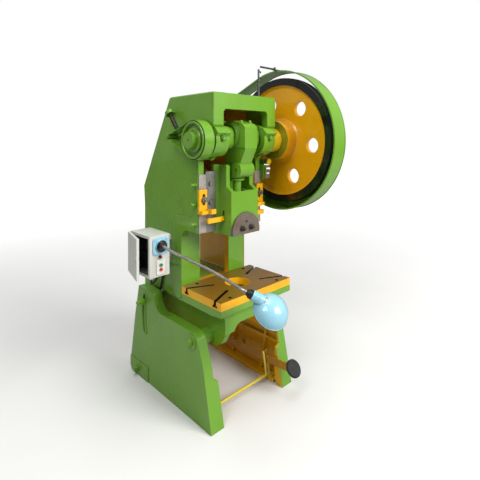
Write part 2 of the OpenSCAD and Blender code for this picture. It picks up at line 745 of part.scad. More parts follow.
// Clutch cover ring on the hub, with its screws
module hub_cover() color([0.5, 0.48, 0.06]) about_crank() {
    difference() {
        translate([0, 0, 254.6]) cylinder(h = 3.4, r = hub_r - 3);
        translate([0, 0, 250]) cylinder(h = 20, r = wheel_shaft_r + 2);
    }
    for (i = [0:5]) rotate([0, 0, 30 + 60 * i]) translate([84, 0, 251.6]) cylinder(h = 3, r = 6, $fn = 6);
}

// Brake

band_r = drum_r + 4;
module strap(r0, r1, x0, x1) {
    difference() {
        along_x(x0, x1) difference() {
            translate([0, crank_z]) circle(r1, $fn = 96);
            translate([0, crank_z]) circle(r0, $fn = 96);
            polygon([[0, crank_z], [200, crank_z + 66], [260, crank_z], [200, crank_z - 66]]);
        }
    }
}
eye_y = 160;
eye_z = crank_z + 50;
// Middle of the upper run of the band, at y
function run_z(y) = let (r = band_r + 1.3, a = tangent_a(r, lug_up + 1.5), t = r * [cos(a), sin(a)])
    crank_z + t[1] + (lug_up + 1.5 - t[1]) * (y - t[0]) / (lug_y - t[0]);
band_x0 = drum_x + 5;
band_x1 = drum_x + drum_w - 2;
lug_y = 184;
lug_up = 26;
lug_low = 6;
pin_rise = (lug_up + lug_low) / 2;
// Path of the band, from its upper end round the front to its lower end
function tangent_a(r, z) = atan(z / lug_y) + acos(r / norm([lug_y, z]));
function band_path(r, g) = concat([[lug_y + 20, crank_z + lug_up + g], [lug_y, crank_z + lug_up + g]],
    arc([0, crank_z], r, tangent_a(r, lug_up + g), 360 - tangent_a(r, -lug_low + g), 56),
    [[lug_y, crank_z + lug_low - g], [lug_y + 20, crank_z + lug_low - g]]);
function reversed(p) = [for (i = [len(p) - 1:-1:0]) p[i]];
module brake_band() color(green) {
    along_x(band_x0, band_x1)
        polygon(concat(band_path(band_r + 0.1, 0), reversed(band_path(band_r + 2.6, 3))));
    // Eye for the spring on the upper run
    along_x(band_x0 + 20, band_x0 + 28) polygon([[eye_y - 14, run_z(eye_y - 14)], [eye_y - 12, eye_z],
        [eye_y + 10, eye_z], [eye_y + 12, run_z(eye_y + 12)]]);
}
module brake_lining() color([0.24, 0.2, 0.17])
    strap(drum_r + shell_gap, band_r - 0.01, band_x0 + 1, band_x1 - 1);

// Anchor pin in the side wall that holds the ends of the band, and the stud with the spring's cup above
spring_r = 8.5;
wire_r = 2.2;
stud_r = 6;
spring_y = 232;
spring_z = 1352;
spring_x = band_x0 + 28 + wire_r + shell_gap;
spring_top = [spring_x, spring_y, spring_z];
spring_b = [spring_x, eye_y, eye_z - 6];
spring_dir = unit(spring_b - spring_top);
spring_a = spring_top + (stud_r + wire_r + shell_gap) * spring_dir;
module brake_anchor() color(green) {
    rod_x(band_x0 - 12, -frame_half_w, lug_y + 11, crank_z + pin_rise, (lug_up - lug_low) / 2);
    translate([band_x0 - 2, lug_y + 11, crank_z + pin_rise]) rotate([0, -90, 0]) cylinder(h = 8, r = 13, $fn = 6);
    rod_x(spring_x - 12, -frame_half_w, spring_y, spring_z, stud_r);
    translate(spring_top) rotate([90 + atan2(-spring_dir[2], -spring_dir[1]), 0, 0]) difference() {
        translate([0, 0, -5]) cylinder(h = 17, r = 21);
        cylinder(h = 20, r = 17);
    }
}

module brake_spring() color(green) {
    turns = 10;
    steps = 12;
    axis = spring_b - spring_a;
    n = unit(cross(axis, [1, 0, 0]));
    coil = [for (i = [0:turns * steps]) let (t = i / (turns * steps), a = 360 * i / steps)
        spring_a + axis * (0.1 + 0.74 * t) + spring_r * (cos(a) * [1, 0, 0] + sin(a) * n)];
    sweep(concat([spring_a, spring_a + axis * 0.04 + [4, 0, 0]], coil,
        [spring_b - axis * 0.07 + [4, 0, 0], spring_b]), wire_r, 6, up = [0.01, 0.97, 0.24]);
}

// Motor, guard and belts

motor_s = 206;
motor_y = head_back + motor_s * sin(slope_a) + motor_h * cos(slope_a);
motor_z = head_top - motor_s * cos(slope_a) + motor_h * sin(slope_a);
guard_small_r = 96;
centre_d = norm([motor_y, motor_z - crank_z]);
centre_a = atan2(motor_z - crank_z, motor_y);
// Area inside an open loop round two circles
module loop_shape(r1, r2, fn = 128) {
    t = acos((r1 - r2) / centre_d);
    translate([0, crank_z]) {
        circle(r1, $fn = fn);
        rotate(centre_a) {
            translate([centre_d, 0]) circle(r2);
            polygon([r1 * [cos(t), sin(t)], r1 * [cos(t), -sin(t)],
                [centre_d, 0] + r2 * [cos(t), -sin(t)], [centre_d, 0] + r2 * [cos(t), sin(t)]]);
        }
    }
}

module flywheel_guard() color(green) {
    along_x(guard_x, guard_x + guard_w) difference() {
        loop_shape(guard_r + 3, guard_small_r + 3);
        loop_shape(guard_r, guard_small_r);
    }
    // Rear flange along the lower half
    along_x(guard_x + guard_w - 3, guard_x + guard_w) translate([0, crank_z]) intersection() {
        difference() {
            circle(guard_r + 2, $fn = 128);
            circle(wheel_r - 8, $fn = 128);
        }
        polygon(concat([[0, 0]], arc([0, 0], 2 * guard_r, -168, -8, 4)));
    }
    // Rolled lips on both edges
    for (x = [guard_x, guard_x + guard_w - 4]) along_x(x, x + 4) difference() {
        loop_shape(guard_r + 5, guard_small_r + 5);
        loop_shape(guard_r - 2, guard_small_r - 2);
    }
}

stay_x = 150;
stay_y = 2;
low_y = 150;
low_z = crank_z - sqrt((guard_r + 1.5) * (guard_r + 1.5) - low_y * low_y);
stay_z = crank_z + guard_r + 5 + 0.3 + 5;
module guard_stays() color(steel) {
    rod_z(head_top, stay_z - 14, stay_x, stay_y, 5);
    translate([stay_x + 14, stay_y, stay_z - 14]) rotate([90, 0, 0])
        rotate_extrude(angle = 90) translate([-14, 0]) circle(5);
    rod_x(stay_x + 14, guard_x - 12, stay_y, stay_z, 5);
    // Flattened end on the guard's edge, with its nut
    box(guard_x - 16, guard_x + 24, stay_y - 9, stay_y + 9, stay_z - 5, stay_z);
    translate([guard_x - 8, stay_y, stay_z + 6]) sphere(7);
    translate([stay_x, stay_y, head_top]) cylinder(h = 9, r = 11, $fn = 6);
    // Lower stay from the side wall to the guard's edge
    rod_x(frame_half_w, guard_x, low_y, low_z, 6);
    translate([frame_half_w, low_y, low_z]) rotate([0, 90, 0]) cylinder(h = 9, r = 12, $fn = 6);
}

motor_x1 = wheel_x - 45;
motor_x0 = motor_x1 - 258;
module motor_plate() color(green) {
    // Plate on two hinge blocks at its upper end and two studs at its lower end
    translate([0, motor_y, motor_z]) rotate([-(90 - slope_a), 0, 0]) {
        translate([motor_x0 + 10, -120, -motor_r - 20]) cube([motor_x1 - motor_x0 - 30, 240, 12]);
        for (x = [motor_x0 + 30, motor_x1 - 60]) {
            translate([x, 92, -motor_h - 1]) cube([30, 26, motor_h - motor_r - 18]);
            translate([x + 15, -104, -motor_h - 1]) cylinder(h = motor_h - motor_r + 6, r = 8);
            translate([x + 15, -104, -motor_r - 8]) nut(24, 12, 8);
        }
    }
}

module motor_housing() color(green) translate([0, motor_y, motor_z]) rotate([-(90 - slope_a), 0, 0]) {
    rotate([0, 90, 0]) {
        translate([0, 0, motor_x0]) cylinder(h = motor_x1 - motor_x0 - 26, r = motor_r - 10);
        translate([0, 0, motor_x1 - 30]) cylinder(h = 14, r = motor_r);
        translate([0, 0, motor_x1 - 17]) cylinder(h = 12, r1 = motor_r - 6, r2 = 34);
        translate([0, 0, motor_x0 - 4]) cylinder(h = 14, r = motor_r);
        translate([0, 0, motor_x0 - 52]) cylinder(h = 50, r = motor_r - 3);
        for (i = [0:29]) rotate([0, 0, 12 * i]) translate([motor_r - 12, -1.5, motor_x0 + 6])
            cube([11, 3, motor_x1 - motor_x0 - 34]);
    }
    // Feet
    for (x = [motor_x0 + 30, motor_x1 - 80]) translate([x, -72, -motor_r - 8]) difference() {
        cube([36, 144, 34]);
        translate([-1, 26, 10]) cube([38, 92, 40]);
    }
    // Terminal box
    translate([60, motor_r - 20, -34]) cube([86, 56, 68]);
}

module motor_pulley() color(steel) translate([0, motor_y, motor_z]) rotate([0, 90, 0]) {
    translate([0, 0, motor_x1 - 5]) cylinder(h = wheel_x + rim_w - motor_x1, r = 12);
    rotate_extrude() polygon([[12, wheel_x], [pulley_r + 4, wheel_x], [pulley_r + 4, wheel_x + 14],
        [pulley_r - 6, wheel_x + 17], [pulley_r - 6, wheel_x + 24], [pulley_r + 4, wheel_x + 27],
        [pulley_r + 4, wheel_x + 31], [pulley_r - 6, wheel_x + 34], [pulley_r - 6, wheel_x + 41],
        [pulley_r + 4, wheel_x + 44], [pulley_r + 4, wheel_x + rim_w], [12, wheel_x + rim_w]]);
}

// Belt line round both pulleys
function belt_path(d) = let (r1 = wheel_r + d, r2 = pulley_r + 4 + d, t = acos((r1 - r2) / centre_d))
    concat(arc([0, crank_z], r1, centre_a + t, centre_a + 360 - t, 84),
    arc([motor_y, motor_z], r2, centre_a - t, centre_a + t, 20));
module drive_belts() color([0.1, 0.1, 0.1]) for (x = [wheel_x + 16.8, wheel_x + 33.8])
    along_x(x, x + 7.4) difference() {
        polygon(belt_path(1.4));
        polygon(belt_path(-8));
    }

// Connecting rod

module rod_shape() {
    difference() {
        union() {
            translate([0, pin_z]) circle(big_end_r, $fn = 72);
            polygon([[-rod_front, pin_z - 60], [-rod_front, pin_z + 37], [-rod_front + 16, pin_z + 52],
                [-58, pin_z + 60], [30, pin_z + 64], [40, pin_z], [20, pin_z - 60]]);
        }
        translate([0, pin_z]) circle(pin_r + bush_t);
    }
}

module rod_collars() {
    for (s = [-1, 1]) along_x(s > 0 ? rod_half_w - 1 : -rod_half_w - 8, s > 0 ? rod_half_w + 8 : -rod_half_w + 1)
        difference() {
            translate([0, pin_z]) circle(big_end_r - 8);
            translate([0, pin_z]) circle(pin_r + bush_t);
        }
    for (s = [-1, 1]) along_x(s > 0 ? rod_half_w + 7 : -rod_half_w - 14, s > 0 ? rod_half_w + 14 : -rod_half_w - 7)
        difference() {
            translate([0, pin_z]) circle(big_end_r - 14);
            translate([0, pin_z]) circle(pin_r + bush_t);
        }
}

module rod_half(s) {
    intersection() {
        union() {
            along_x(-rod_half_w, rod_half_w) rod_shape();
            rod_collars();
        }
        translate([-100, -150, s > 0 ? pin_z : pin_z - 200]) cube([200, 300, 200]);
    }
}
rod_bolt_x = 27;
rod_bolt_y = 60;
screw_top = barrel_z + 34;
module connecting_rod() color(green) difference() {
    union() {
        rod_half(-1);
        // Neck from the big end back to the clamp
        along_x(-rod_half_w + 3, rod_half_w - 3) polygon([[-rod_front, pin_z - 58], [-rod_front + 2, pin_z - 66],
            [-64, barrel_z + 34], [-40, barrel_z - 4], [38, barrel_z - 4], [42, barrel_z + 40], [50, pin_z - 54]]);
        // Clamp barrel across the front
        rod_x(-rod_half_w - 4, rod_half_w + 6, -barrel_r - 2, barrel_z, barrel_r);
        // Screw socket
        rod_z(barrel_z - barrel_r - 4, barrel_z + 30, 0, 0, 38);
    }
    // Screw bore, clamp slit, clamp bolt recess and dimple
    rod_z(barrel_z - 80, screw_top + 1, 0, 0, screw_r + run_gap);
    box(-60, 60, -barrel_r - 4, -barrel_r, barrel_z - 60, barrel_z - 6);
    rod_x(-rod_half_w - 5, -rod_half_w - 1, -barrel_r - 2, barrel_z, 9);
    rod_x(-rod_half_w - 5, rod_half_w + 7, -barrel_r - 2, barrel_z, 5);
    for (x = [-rod_bolt_x, rod_bolt_x]) rod_z(pin_z - 40, pin_z + 1, x, -rod_bolt_y, 7);
    for (x = [-rod_bolt_x, rod_bolt_x]) rod_z(pin_z - 40, pin_z + 1, x, rod_bolt_y, 7);
}

module rod_cap() color(green) difference() {
    rod_half(1);
    for (x = [-rod_bolt_x, rod_bolt_x]) for (y = [-rod_bolt_y, rod_bolt_y]) {
        rod_z(pin_z - 1, pin_z + 100, x, y, 7);
        rod_z(pin_z + 48, pin_z + 100, x, y, 14);
    }
}

module rod_bolts() color(green) for (x = [-rod_bolt_x, rod_bolt_x]) for (y = [-rod_bolt_y, rod_bolt_y])
    translate([x, y, pin_z + 48]) stud_nut(7, 86, 22, 22);

module ball_screw() color(green) difference() {
    union() {
        rod_z(ball_z, screw_top, 0, 0, screw_r);
        translate([0, 0, ball_z]) sphere(ball_r);
        rod_z(barrel_z - barrel_r - 16, barrel_z - barrel_r - 8, 0, 0, 36);
    }
    for (i = [0:3]) rotate(45 + 90 * i) translate([36, 0, barrel_z - barrel_r - 12]) sphere(4);
}

module ball_cup() color([0.72, 0.53, 0.25]) difference() {
    rod_z(ball_z - ball_r - 7, ball_z - 4, 0, 0, ball_r + 2);
    translate([0, 0, ball_z]) sphere(ball_r + run_gap);
}

// Ring over the ball
module ball_retainer() color(green) difference() {
    rod_z(ball_z - 4, ball_z + 14, 0, 0, ball_r + 2);
    translate([0, 0, ball_z]) sphere(ball_r + run_gap);
    rod_z(ball_z, ball_z + 20, 0, 0, screw_r + 1);
}

// Slide

pocket_x = ball_r + 2.7;
pocket_y = ball_r + 2 + throw + 0.8;
pocket_z = ball_z - ball_r - 7 - 2 * throw - 0.7;

clamp_front = 66;
clamp_back = slide_front - 3.5;
clamp_r = 86;
clamp_zc = slide_z + 14;
module clamp_shape(g) {
    intersection() {
        translate([0, clamp_zc]) circle(clamp_r + g, $fn = 72);
        translate([-slide_half_w - 1, slide_z - 1]) square([2 * slide_half_w + 2, 200]);
    }
}

module slide() color(green) difference() {
    union() {
        box(-slide_half_w, slide_half_w, -slide_front, 88, slide_z, slide_top);
        both_sides() {
            along_x(slide_half_w - cheek_t, slide_half_w) polygon([[-cheek_front, slide_z + slide_h - 6],
                [-cheek_front + 6, slide_z + slide_h], [80, slide_z + slide_h], [80, slide_top - 10],
                [-slide_front, slide_top - 10], [-slide_front, slide_top], [-cheek_front, slide_top + 22]]);
            translate([0, 0, slide_z]) linear_extrude(slide_h) tongue_shape(0);
        }
        // Back wall between the cheeks
        box(-slide_half_w + 4, slide_half_w - 4, 74, 88, slide_top - 2, slide_z + slide_h);
    }
    // Ball pocket
    box(-pocket_x, pocket_x, -pocket_y, pocket_y, pocket_z, slide_top + 1);
    // Knock-out slot through both sides, and the rod hole to the shank
    along_x(-120, 120) translate([0, slide_z + 85]) union() {
        square([14, 38], center = true);
        for (s = [-1, 1]) translate([0, s * 19]) circle(7);
    }
    rod_z(slide_z + shank_l - 1, slide_z + 89, 0, 0, 6);
    // Shank hole and the seat of its clamp
    rod_z(slide_z - 1, slide_z + shank_l, 0, 0, shank_r);
    along_y(-100, -clamp_back + 0.3) clamp_shape(0.3);
    box(-48.3, 48.3, -clamp_back - 1, 0, slide_z - 1, slide_z + 58.3);
    for (x = [-28, 28]) rod_y(-60, 50, x, 812, 7);
}

module shank_clamp() color([0.45, 0.42, 0.4]) difference() {
    union() {
        along_y(-clamp_front, -clamp_back) intersection() {
            clamp_shape(0);
            translate([-200, slide_z]) square([400, 200]);
        }
        box(-48, 48, -clamp_back - 1, -0.6, slide_z, slide_z + 58);
    }
    rod_z(slide_z - 1, slide_z + shank_l, 0, 0, shank_r);
    for (x = [-28, 28]) rod_y(-100, 1, x, 812, 7);
    rod_y(-100, -40, 0, 842, 6);
}

module clamp_nuts() color([0.2, 0.19, 0.18]) {
    for (x = [-28, 28]) translate([x, -clamp_front, 812]) rotate([90, 0, 0]) stud_nut(7, 112, 22, 22);
    translate([0, -clamp_front - 2, 842]) rotate([90, 0, 0]) translate([0, 0, -12]) cylinder(h = 12, r = 6);
}

// Knock-out

bar_z0 = slide_z + 63;
module knockout_bar() color(yellow) {
    difference() {
        box(-stop_x, stop_x, -6, 6, bar_z0, bar_z0 + 22);
        // Relief below the ball seat
        box(-ball_r - 6, ball_r + 6, -7, 7, bar_z0 + 7, bar_z0 + 23);
    }
    both_sides() translate([-slide_half_w - 12, -6, bar_z0 + 10]) rotate([90, 0, 0]) {
        cylinder(h = 4, r = 6, $fn = 6);
        cylinder(h = 10, r = 3);
    }
}

module knockout_stops() color(yellow) both_sides() difference() {
    union() {
        box(-stop_x - 26, -stop_x + 18, 26, strip_front, stop_z, stop_z + 110);
        box(-stop_x + 17, -stop_x + 44, -8, strip_front, stop_z, stop_z + 22);
        box(-stop_x - 22, -stop_x + 18, 10, 27, stop_z, stop_z + 16);
    }
    along_y(20, 50) translate([-stop_x, stop_z + 65]) round_rect(15, 52, 7.4);
    box(-stop_x + 20, -stop_x + 48, 4, 50, stop_z + 14, stop_z + 26);
}

module stop_bolts() color(steel) both_sides() translate([-stop_x, 26, stop_z + 65]) rotate([90, 0, 0]) {
    difference() {
        cylinder(h = 3, r = 14);
        translate([0, 0, -1]) cylinder(h = 5, r = 6.9);
    }
    translate([0, 0, 3]) stud_nut(6.9, 24, 18, 22);
}

// Electrics on the left side

box_x1 = -frame_half_w - box_gap;
box_x0 = box_x1 - box_w;
box_y0 = 163;
box_y1 = box_y0 + box_d;
box_z0 = 606;
box_z1 = box_z0 + box_h;
sheet = 2;
gland = [box_x0 + 26, box_y0 + 30, box_z0];
module electrical_box() color([0.78, 0.78, 0.76]) {
    difference() {
        box(box_x0, box_x1, box_y0, box_y1, box_z0, box_z1);
        box(box_x0 - 1, box_x1 - sheet, box_y0 + sheet, box_y1 - sheet, box_z0 + sheet, box_z1 - sheet);
        rod_z(box_z0 - 1, box_z0 + 5, gland[0], gland[1], 7);
    }
    // Return flanges round the door opening
    difference() {
        box(box_x0, box_x0 + sheet, box_y0 + 1, box_y1 - 1, box_z0 + 1, box_z1 - 1);
        box(box_x0 - 1, box_x0 + 5, box_y0 + 12, box_y1 - 12, box_z0 + 12, box_z1 - 12);
    }
    // Two channel arms to the side wall
    for (z = [box_z0 + 40, box_z1 - 60]) difference() {
        box(box_x1 - 1, -frame_half_w, box_y0 + 96, box_y0 + 160, z, z + 26);
        box(box_x1 + 2, -frame_half_w - 4, box_y0 + 90, box_y0 + 170, z + 3, z + 30);
    }
    // Hinge knuckles at the back edge
    for (z = [box_z0 + 22, box_z1 - 52]) difference() {
        union() {
            rod_z(z, z + 30, box_x0 - 2, box_y1 + 4, 4);
            box(box_x0 - 2, box_x0 + 14, box_y1 - 0.5, box_y1 + 2, z, z + 30);
        }
        rod_z(z - 1, z + 31, box_x0 - 2, box_y1 + 4, 2);
    }
    // Cable gland under the box
    difference() {
        union() {
            rod_z(box_z0 - 14, box_z0 + 0.5, gland[0], gland[1], 9);
            translate([gland[0], gland[1], box_z0 - 7]) cylinder(h = 7.5, r = 12, $fn = 6);
        }
        rod_z(box_z0 - 20, box_z0 + 5, gland[0], gland[1], 5.5);
    }
}

module box_door() color([0.8, 0.8, 0.78]) translate([box_x0 - 2, box_y1 + 4, 0]) rotate(-door_ajar)
    translate([-box_x0 + 2, -box_y1 - 4, 0]) {
    difference() {
        box(box_x0 - 12, box_x0 - 1, box_y0, box_y1 - 1, box_z0 + 2, box_z1 - 2);
        box(box_x0 - 12 + sheet, box_x0 + 1, box_y0 + sheet, box_y1 - 1 - sheet, box_z0 + 2 + sheet,
            box_z1 - 2 - sheet);
    }
    // Hinge pins and leaves
    for (z = [box_z0 + 22, box_z1 - 52]) {
        rod_z(z - 10, z + 30, box_x0 - 2, box_y1 + 4, 1.95);
        rod_z(z - 12, z - 0.4, box_x0 - 2, box_y1 + 4, 4);
        box(box_x0 - 11, box_x0 - 2, box_y1 - 4, box_y1 + 4.8, z - 12, z - 0.4);
    }
    // Lock
    rod_x(box_x0 - 15, box_x0 - 6, box_y0 + 14, (box_z0 + box_z1) / 2, 7);
}

module contactor() color([0.13, 0.13, 0.14]) {
    difference() {
        box(box_x1 - 66, box_x1 - sheet, box_y0 + 44, box_y0 + 96, box_z0 + 90, box_z0 + 164);
        box(box_x1 - 70, box_x1 - 50, box_y0 + 40, box_y0 + 100, box_z0 + 148, box_z0 + 170);
        box(box_x1 - 70, box_x1 - 50, box_y0 + 40, box_y0 + 100, box_z0 + 84, box_z0 + 106);
    }
    difference() {
        box(box_x1 - 56, box_x1 - sheet, box_y0 + 44, box_y0 + 90, box_z0 + 34, box_z0 + 89.5);
        box(box_x1 - 60, box_x1 - 44, box_y0 + 40, box_y0 + 96, box_z0 + 30, box_z0 + 48);
    }
    // Lamp transformer
    box(box_x1 - 60, box_x1 - sheet, box_y0 + 104, box_y0 + 160, box_z0 + 30, box_z0 + 90);
    // Terminal strip
    box(box_x1 - 26, box_x1 - sheet, box_y0 + 24, box_y0 + 150, box_z0 + 8, box_z0 + 24);
}

switch_x = box_x0 + 54;
module switch_plate() color([0.9, 0.9, 0.88]) difference() {
    along_y(box_y0 - 6, box_y0) translate([switch_x, box_z0 + 44]) round_rect(41, 68, 3);
    for (z = [box_z0 + 33, box_z0 + 53]) rod_y(box_y0 - 8, box_y0 + 1, switch_x, z, 7.6);
    for (z = [box_z0 + 14, box_z0 + 74]) rod_y(box_y0 - 7, box_y0 - 5, switch_x, z, 3);
}
module push_button(z) {
    rod_y(box_y0 - 11, box_y0 - 4.5, switch_x, z, 7.2);
}
module start_button() color([0.05, 0.5, 0.25]) push_button(box_z0 + 53);
module stop_button() color([0.8, 0.1, 0.12]) push_button(box_z0 + 33);

module indicator_lamp() color([0.6, 0.05, 0.05]) {
    rod_y(box_y0 - 8, box_y0, switch_x - 2, box_z0 + 90, 7);
    rod_y(box_y0 - 13, box_y0 - 7, switch_x - 2, box_z0 + 90, 4.5);
}

lamp_x = box_x0 + 55;
lamp_z = box_z0 + 138;
module lamp_base() color([0.62, 0.82, 0.9]) {
    along_y(box_y0 - 5, box_y0) translate([lamp_x, lamp_z]) round_rect(78, 76, 10);
    rod_y(box_y0 - 14, box_y0 - 4, lamp_x, lamp_z, 27);
    rod_y(box_y0 - 22, box_y0 - 13, lamp_x, lamp_z, 20);
    for (sx = [-1, 1]) for (sz = [-1, 1]) rod_y(box_y0 - 8, box_y0 - 4, lamp_x + sx * 29, lamp_z + sz * 28, 5);
}

// Flexible arm: its points follow the bend in use
arm_end = [-212, -293, 629];
socket_dir = unit([62, -62, -48]);
arm_path = [[lamp_x, box_y0 - 23, lamp_z], [lamp_x, box_y0 - 37, lamp_z], [-308, 96, 732], [-292, 50, 718],
    [-280, 0, 708], [-269, -50, 698], [-259, -100, 688], [-250, -150, 677], [-243, -198, 665],
    [-232, -243, 650], arm_end - 24 * socket_dir,
    arm_end - 10 * socket_dir, arm_end];
socket_at = arm_end;
module gooseneck() color([0.5, 0.5, 0.5]) {
    sweep(spline(arm_path, 4), arm_r, 12);
}

module at_socket() {
    translate(socket_at) rotate([0, acos(socket_dir[2]), atan2(socket_dir[1], socket_dir[0])]) children();
}
module lamp_socket() color([0.08, 0.08, 0.08]) at_socket() rotate_extrude()
    polygon([[arm_r + 0.9, -4], [arm_r + 5, -4], [arm_r + 6, 0], [18, 8], [19, 26], [17, 30], [0, 30], [0, 0.3],
        [arm_r + 0.9, 0.3]]);

// Shade: a dome that opens sideways from the neck, towards the dies
shade_h = 63;
neck_r = 21;
neck_l = 39;
shade_t = 1.7;
dome_x = 36;
dome_z = 21 + neck_l + 0.8 * shade_r;
dome_turn = 30;
module dome(r, h) {
    translate([dome_x, 0, dome_z]) rotate([0, -90, 0]) rotate_extrude($fn = 72)
        polygon(concat([[0, 0]], [for (a = [0:7.5:90]) [r * cos(a), h * sin(a)]]));
}
module lamp_shade() color([0.62, 0.82, 0.9]) at_socket() rotate([0, 0, dome_turn]) difference() {
    union() {
        dome(shade_r, shade_h);
        translate([0, 0, 21]) cylinder(h = neck_l + 12, r = neck_r);
        for (z = [29, 39, 49]) translate([0, 0, z]) cylinder(h = 5, r = neck_r + 1.2);
        // Bead on the rim
        translate([dome_x, 0, dome_z]) rotate([0, -90, 0]) cylinder(h = 3, r = shade_r + 1.8);
    }
    dome(shade_r - shade_t, shade_h - shade_t);
    translate([dome_x - 1, 0, dome_z]) rotate([0, 90, 0]) cylinder(h = 4, r = shade_r - shade_t);
    translate([0, 0, 20]) cylinder(h = neck_l + 40, r = neck_r - shade_t);
}

module lamp_bulb() color([0.95, 0.95, 0.9]) at_socket() rotate_extrude()
    polygon(concat([[0, 30.2], [12, 30.2], [12, 68]], arc([0, 84], 16, -40, 90, 8)));

// Motor cable down from the box, along the side wall and round to the motor
cable_r = 5;
cable_path = [[gland[0], gland[1], box_z0 - 2], [gland[0], gland[1], box_z0 - 16], [gland[0] + 1, gland[1] + 1, 576],
    [gland[0] + 14, gland[1] + 12, 568], [gland[0] + 38, gland[1] + 28, 571], [-278, 242, 584], [-240, 262, 599],
    [-212, 284, 603], [-204.5, 302, 592], [-203.5, 322, 562], [-203.5, 338, 520], [-203.5, 352, 478], [-201, 368, 452], [-194, 392, 438],
    [-188, 418, 429], [-184, 462, 427], [-180, 512, 427], [-176, 536, 438], [-165, 549, 470], [-145, 557, 525],
    [-115, 560, 600], [-85, 560, 700],
    [-60, 562, 810], [-40, 568, 920], [-15, 584, 1020], [20, 598, 1090], [60, 604, 1150]];
module motor_cable() color([0.07, 0.07, 0.07]) sweep(spline(cable_path, 4), cable_r, 8, up = [0.6, -0.5, 0.02]);

// Pedal and clutch trip

bar_end = [-190, 123];
pad_tilt = 50;
pad_r = 41;
pad_t = 14;
module pedal_bar() color(orange) {
    difference() {
        union() {
            along_x(pedal_x - 4, pedal_x + 4) union() {
                polygon([[pedal_pivot_y, pedal_pivot_z - pedal_h / 2], [pedal_pivot_y, pedal_pivot_z + pedal_h / 2],
                    [bar_end[0], bar_end[1] + pedal_h / 2 + 1], [bar_end[0], bar_end[1] - pedal_h / 2 - 1]]);
                translate([pedal_pivot_y, pedal_pivot_z]) circle(pedal_h / 2);
            }
            // Plate under the pad
            at_pad() cylinder(h = 8, r = 25);
        }
        rod_x(0, 300, pedal_pivot_y, pedal_pivot_z, 8);
    }
    rod_x(pedal_x + 3, pull_x + 3, pull_y, pull_z, 4);
}
module at_pad() {
    translate([pedal_x, bar_end[0] - 4, bar_end[1] + 3]) rotate([pad_tilt, 0, 0]) children();
}
// Round rubber pad, pushed over the plate
module pedal_pad() color([0.05, 0.05, 0.05]) at_pad() {
    rotate_extrude() polygon([[0, 8], [25.2, 8], [25.2, 1], [pad_r - 3, 1], [pad_r, 4], [pad_r, pad_t - 4],
        [pad_r - 4, pad_t], [0, pad_t]]);
}

pull_x = frame_half_w + 9;
pull_y = 176;
pull_z = pedal_pivot_z + 15;
module pull_rod() color(orange) {
    rod_z(pull_z + 20, 1024, pull_x, pull_y, 3.5);
    // Hook under the pin of the pedal bar, open to the back
    difference() {
        box(pull_x - 5, pull_x + 3.6, pull_y - 10, pull_y + 8, pull_z - 12, pull_z + 24);
        box(pull_x - 6, pull_x + 5, pull_y - 5.5, pull_y + 9, pull_z - 4.4, pull_z + 14);
    }
    // Arm to the clutch latch and the latch block
    box(pull_x - 3.4, pull_x + 4, 44, pull_y + 8, 1012, 1030);
}

module clutch_trip() color(green) {
    // Spring housing with its yellow cap, on a plate on the side wall
    box(frame_half_w, frame_half_w + 6, 14, jaw_front - 0.5, 1018, 1122);
    rod_y(-2, 56, frame_half_w + 18.5, 1108, 13);
    rod_y(-8, -1.5, frame_half_w + 20, 1108, 15);
    difference() {
        box(frame_half_w + 5, frame_half_w + 38, 4, 32, 1023, 1089);
        box(frame_half_w + 12, frame_half_w + 50, -1, 40, 1068, 1077);
        box(frame_half_w + 12, frame_half_w + 50, -1, 40, 1044, 1051);
    }
}

left_leg();
right_leg();
tie_rod();
pedal_guide();
pivot_pins();
frame_casting();
tilt_studs();
bolster_plate();
bearing_caps();
bearing_bushes();
cap_studs();
gib_left();
gib_right();
gib_strips();
gib_bolts();
gib_adjusters();
knockout_stops();
stop_bolts();
brake_band();
brake_lining();
brake_spring();
brake_anchor();
flywheel_guard();
guard_stays();
motor_plate();
motor_housing();
drive_belts();
electrical_box();
contactor();
switch_plate();
indicator_lamp();
lamp_base();
gooseneck();
lamp_socket();
lamp_shade();
lamp_bulb();
motor_cable();
crankshaft();
brake_drum();
flywheel();
flywheel_bush();
hub_cover();
connecting_rod();
rod_cap();
rod_bolts();
ball_screw();
ball_cup();
slide();
ball_retainer();
shank_clamp();
clamp_nuts();
knockout_bar();
motor_pulley();
box_door();
start_button();
stop_button();
pedal_bar();
pedal_pad();
pull_rod();
clutch_trip();
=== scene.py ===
import bpy
import math
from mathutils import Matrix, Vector

# Camera, fitted to the photograph: millimetres, frame widths, metres and degrees
SENSOR_MM = 36
LENS_MM = 29.22
SHIFT = (-0.0346, -0.204)
FARTHEST = 60
CAMERA_AT = (-1.2524, -1.3854, 1.2203)
CAMERA_TURN = (89.7, 0.1, -45)

# Places on the press that several paints share, in metres
CRANK_YZ = (0, 1.22)
TILT_PIVOT_YZ = (0.016, 0.341)

# Paints, as a colour and its deeper shade in sRGB numbers from 0 to 255
GREEN = (110, 162, 44), (92, 144, 32)
SPRING_GREEN = (52, 92, 26), (36, 66, 18)
ORANGE = (240, 188, 14), (220, 158, 8)
PEDAL_ORANGE = (192, 138, 10), (158, 106, 4)
EDGE_YELLOW = (244, 180, 14), (226, 152, 8)
STOP_YELLOW = (246, 186, 18), (222, 152, 10)
WHEEL_YELLOW = (240, 174, 8), (214, 142, 4)
COLLAR_YELLOW = (236, 196, 24), (204, 158, 14)
CAP_YELLOW = (226, 196, 30), (190, 150, 14)
ROD_YELLOW = (222, 204, 74), (190, 166, 44)
OLIVE = (146, 144, 18), (116, 112, 10)
RIM_BLACK = (12, 15, 17), (6, 8, 9)
GROMMET_BLACK = (18, 18, 20), (8, 8, 9)
BASE_BLUE = (150, 202, 224), (120, 176, 200)
SHADE_BLUE = (150, 204, 222), (124, 180, 202)
SHADE_WHITE = (236, 238, 236), (216, 218, 216)
BOX_GREY = (208, 209, 202), (186, 187, 178)
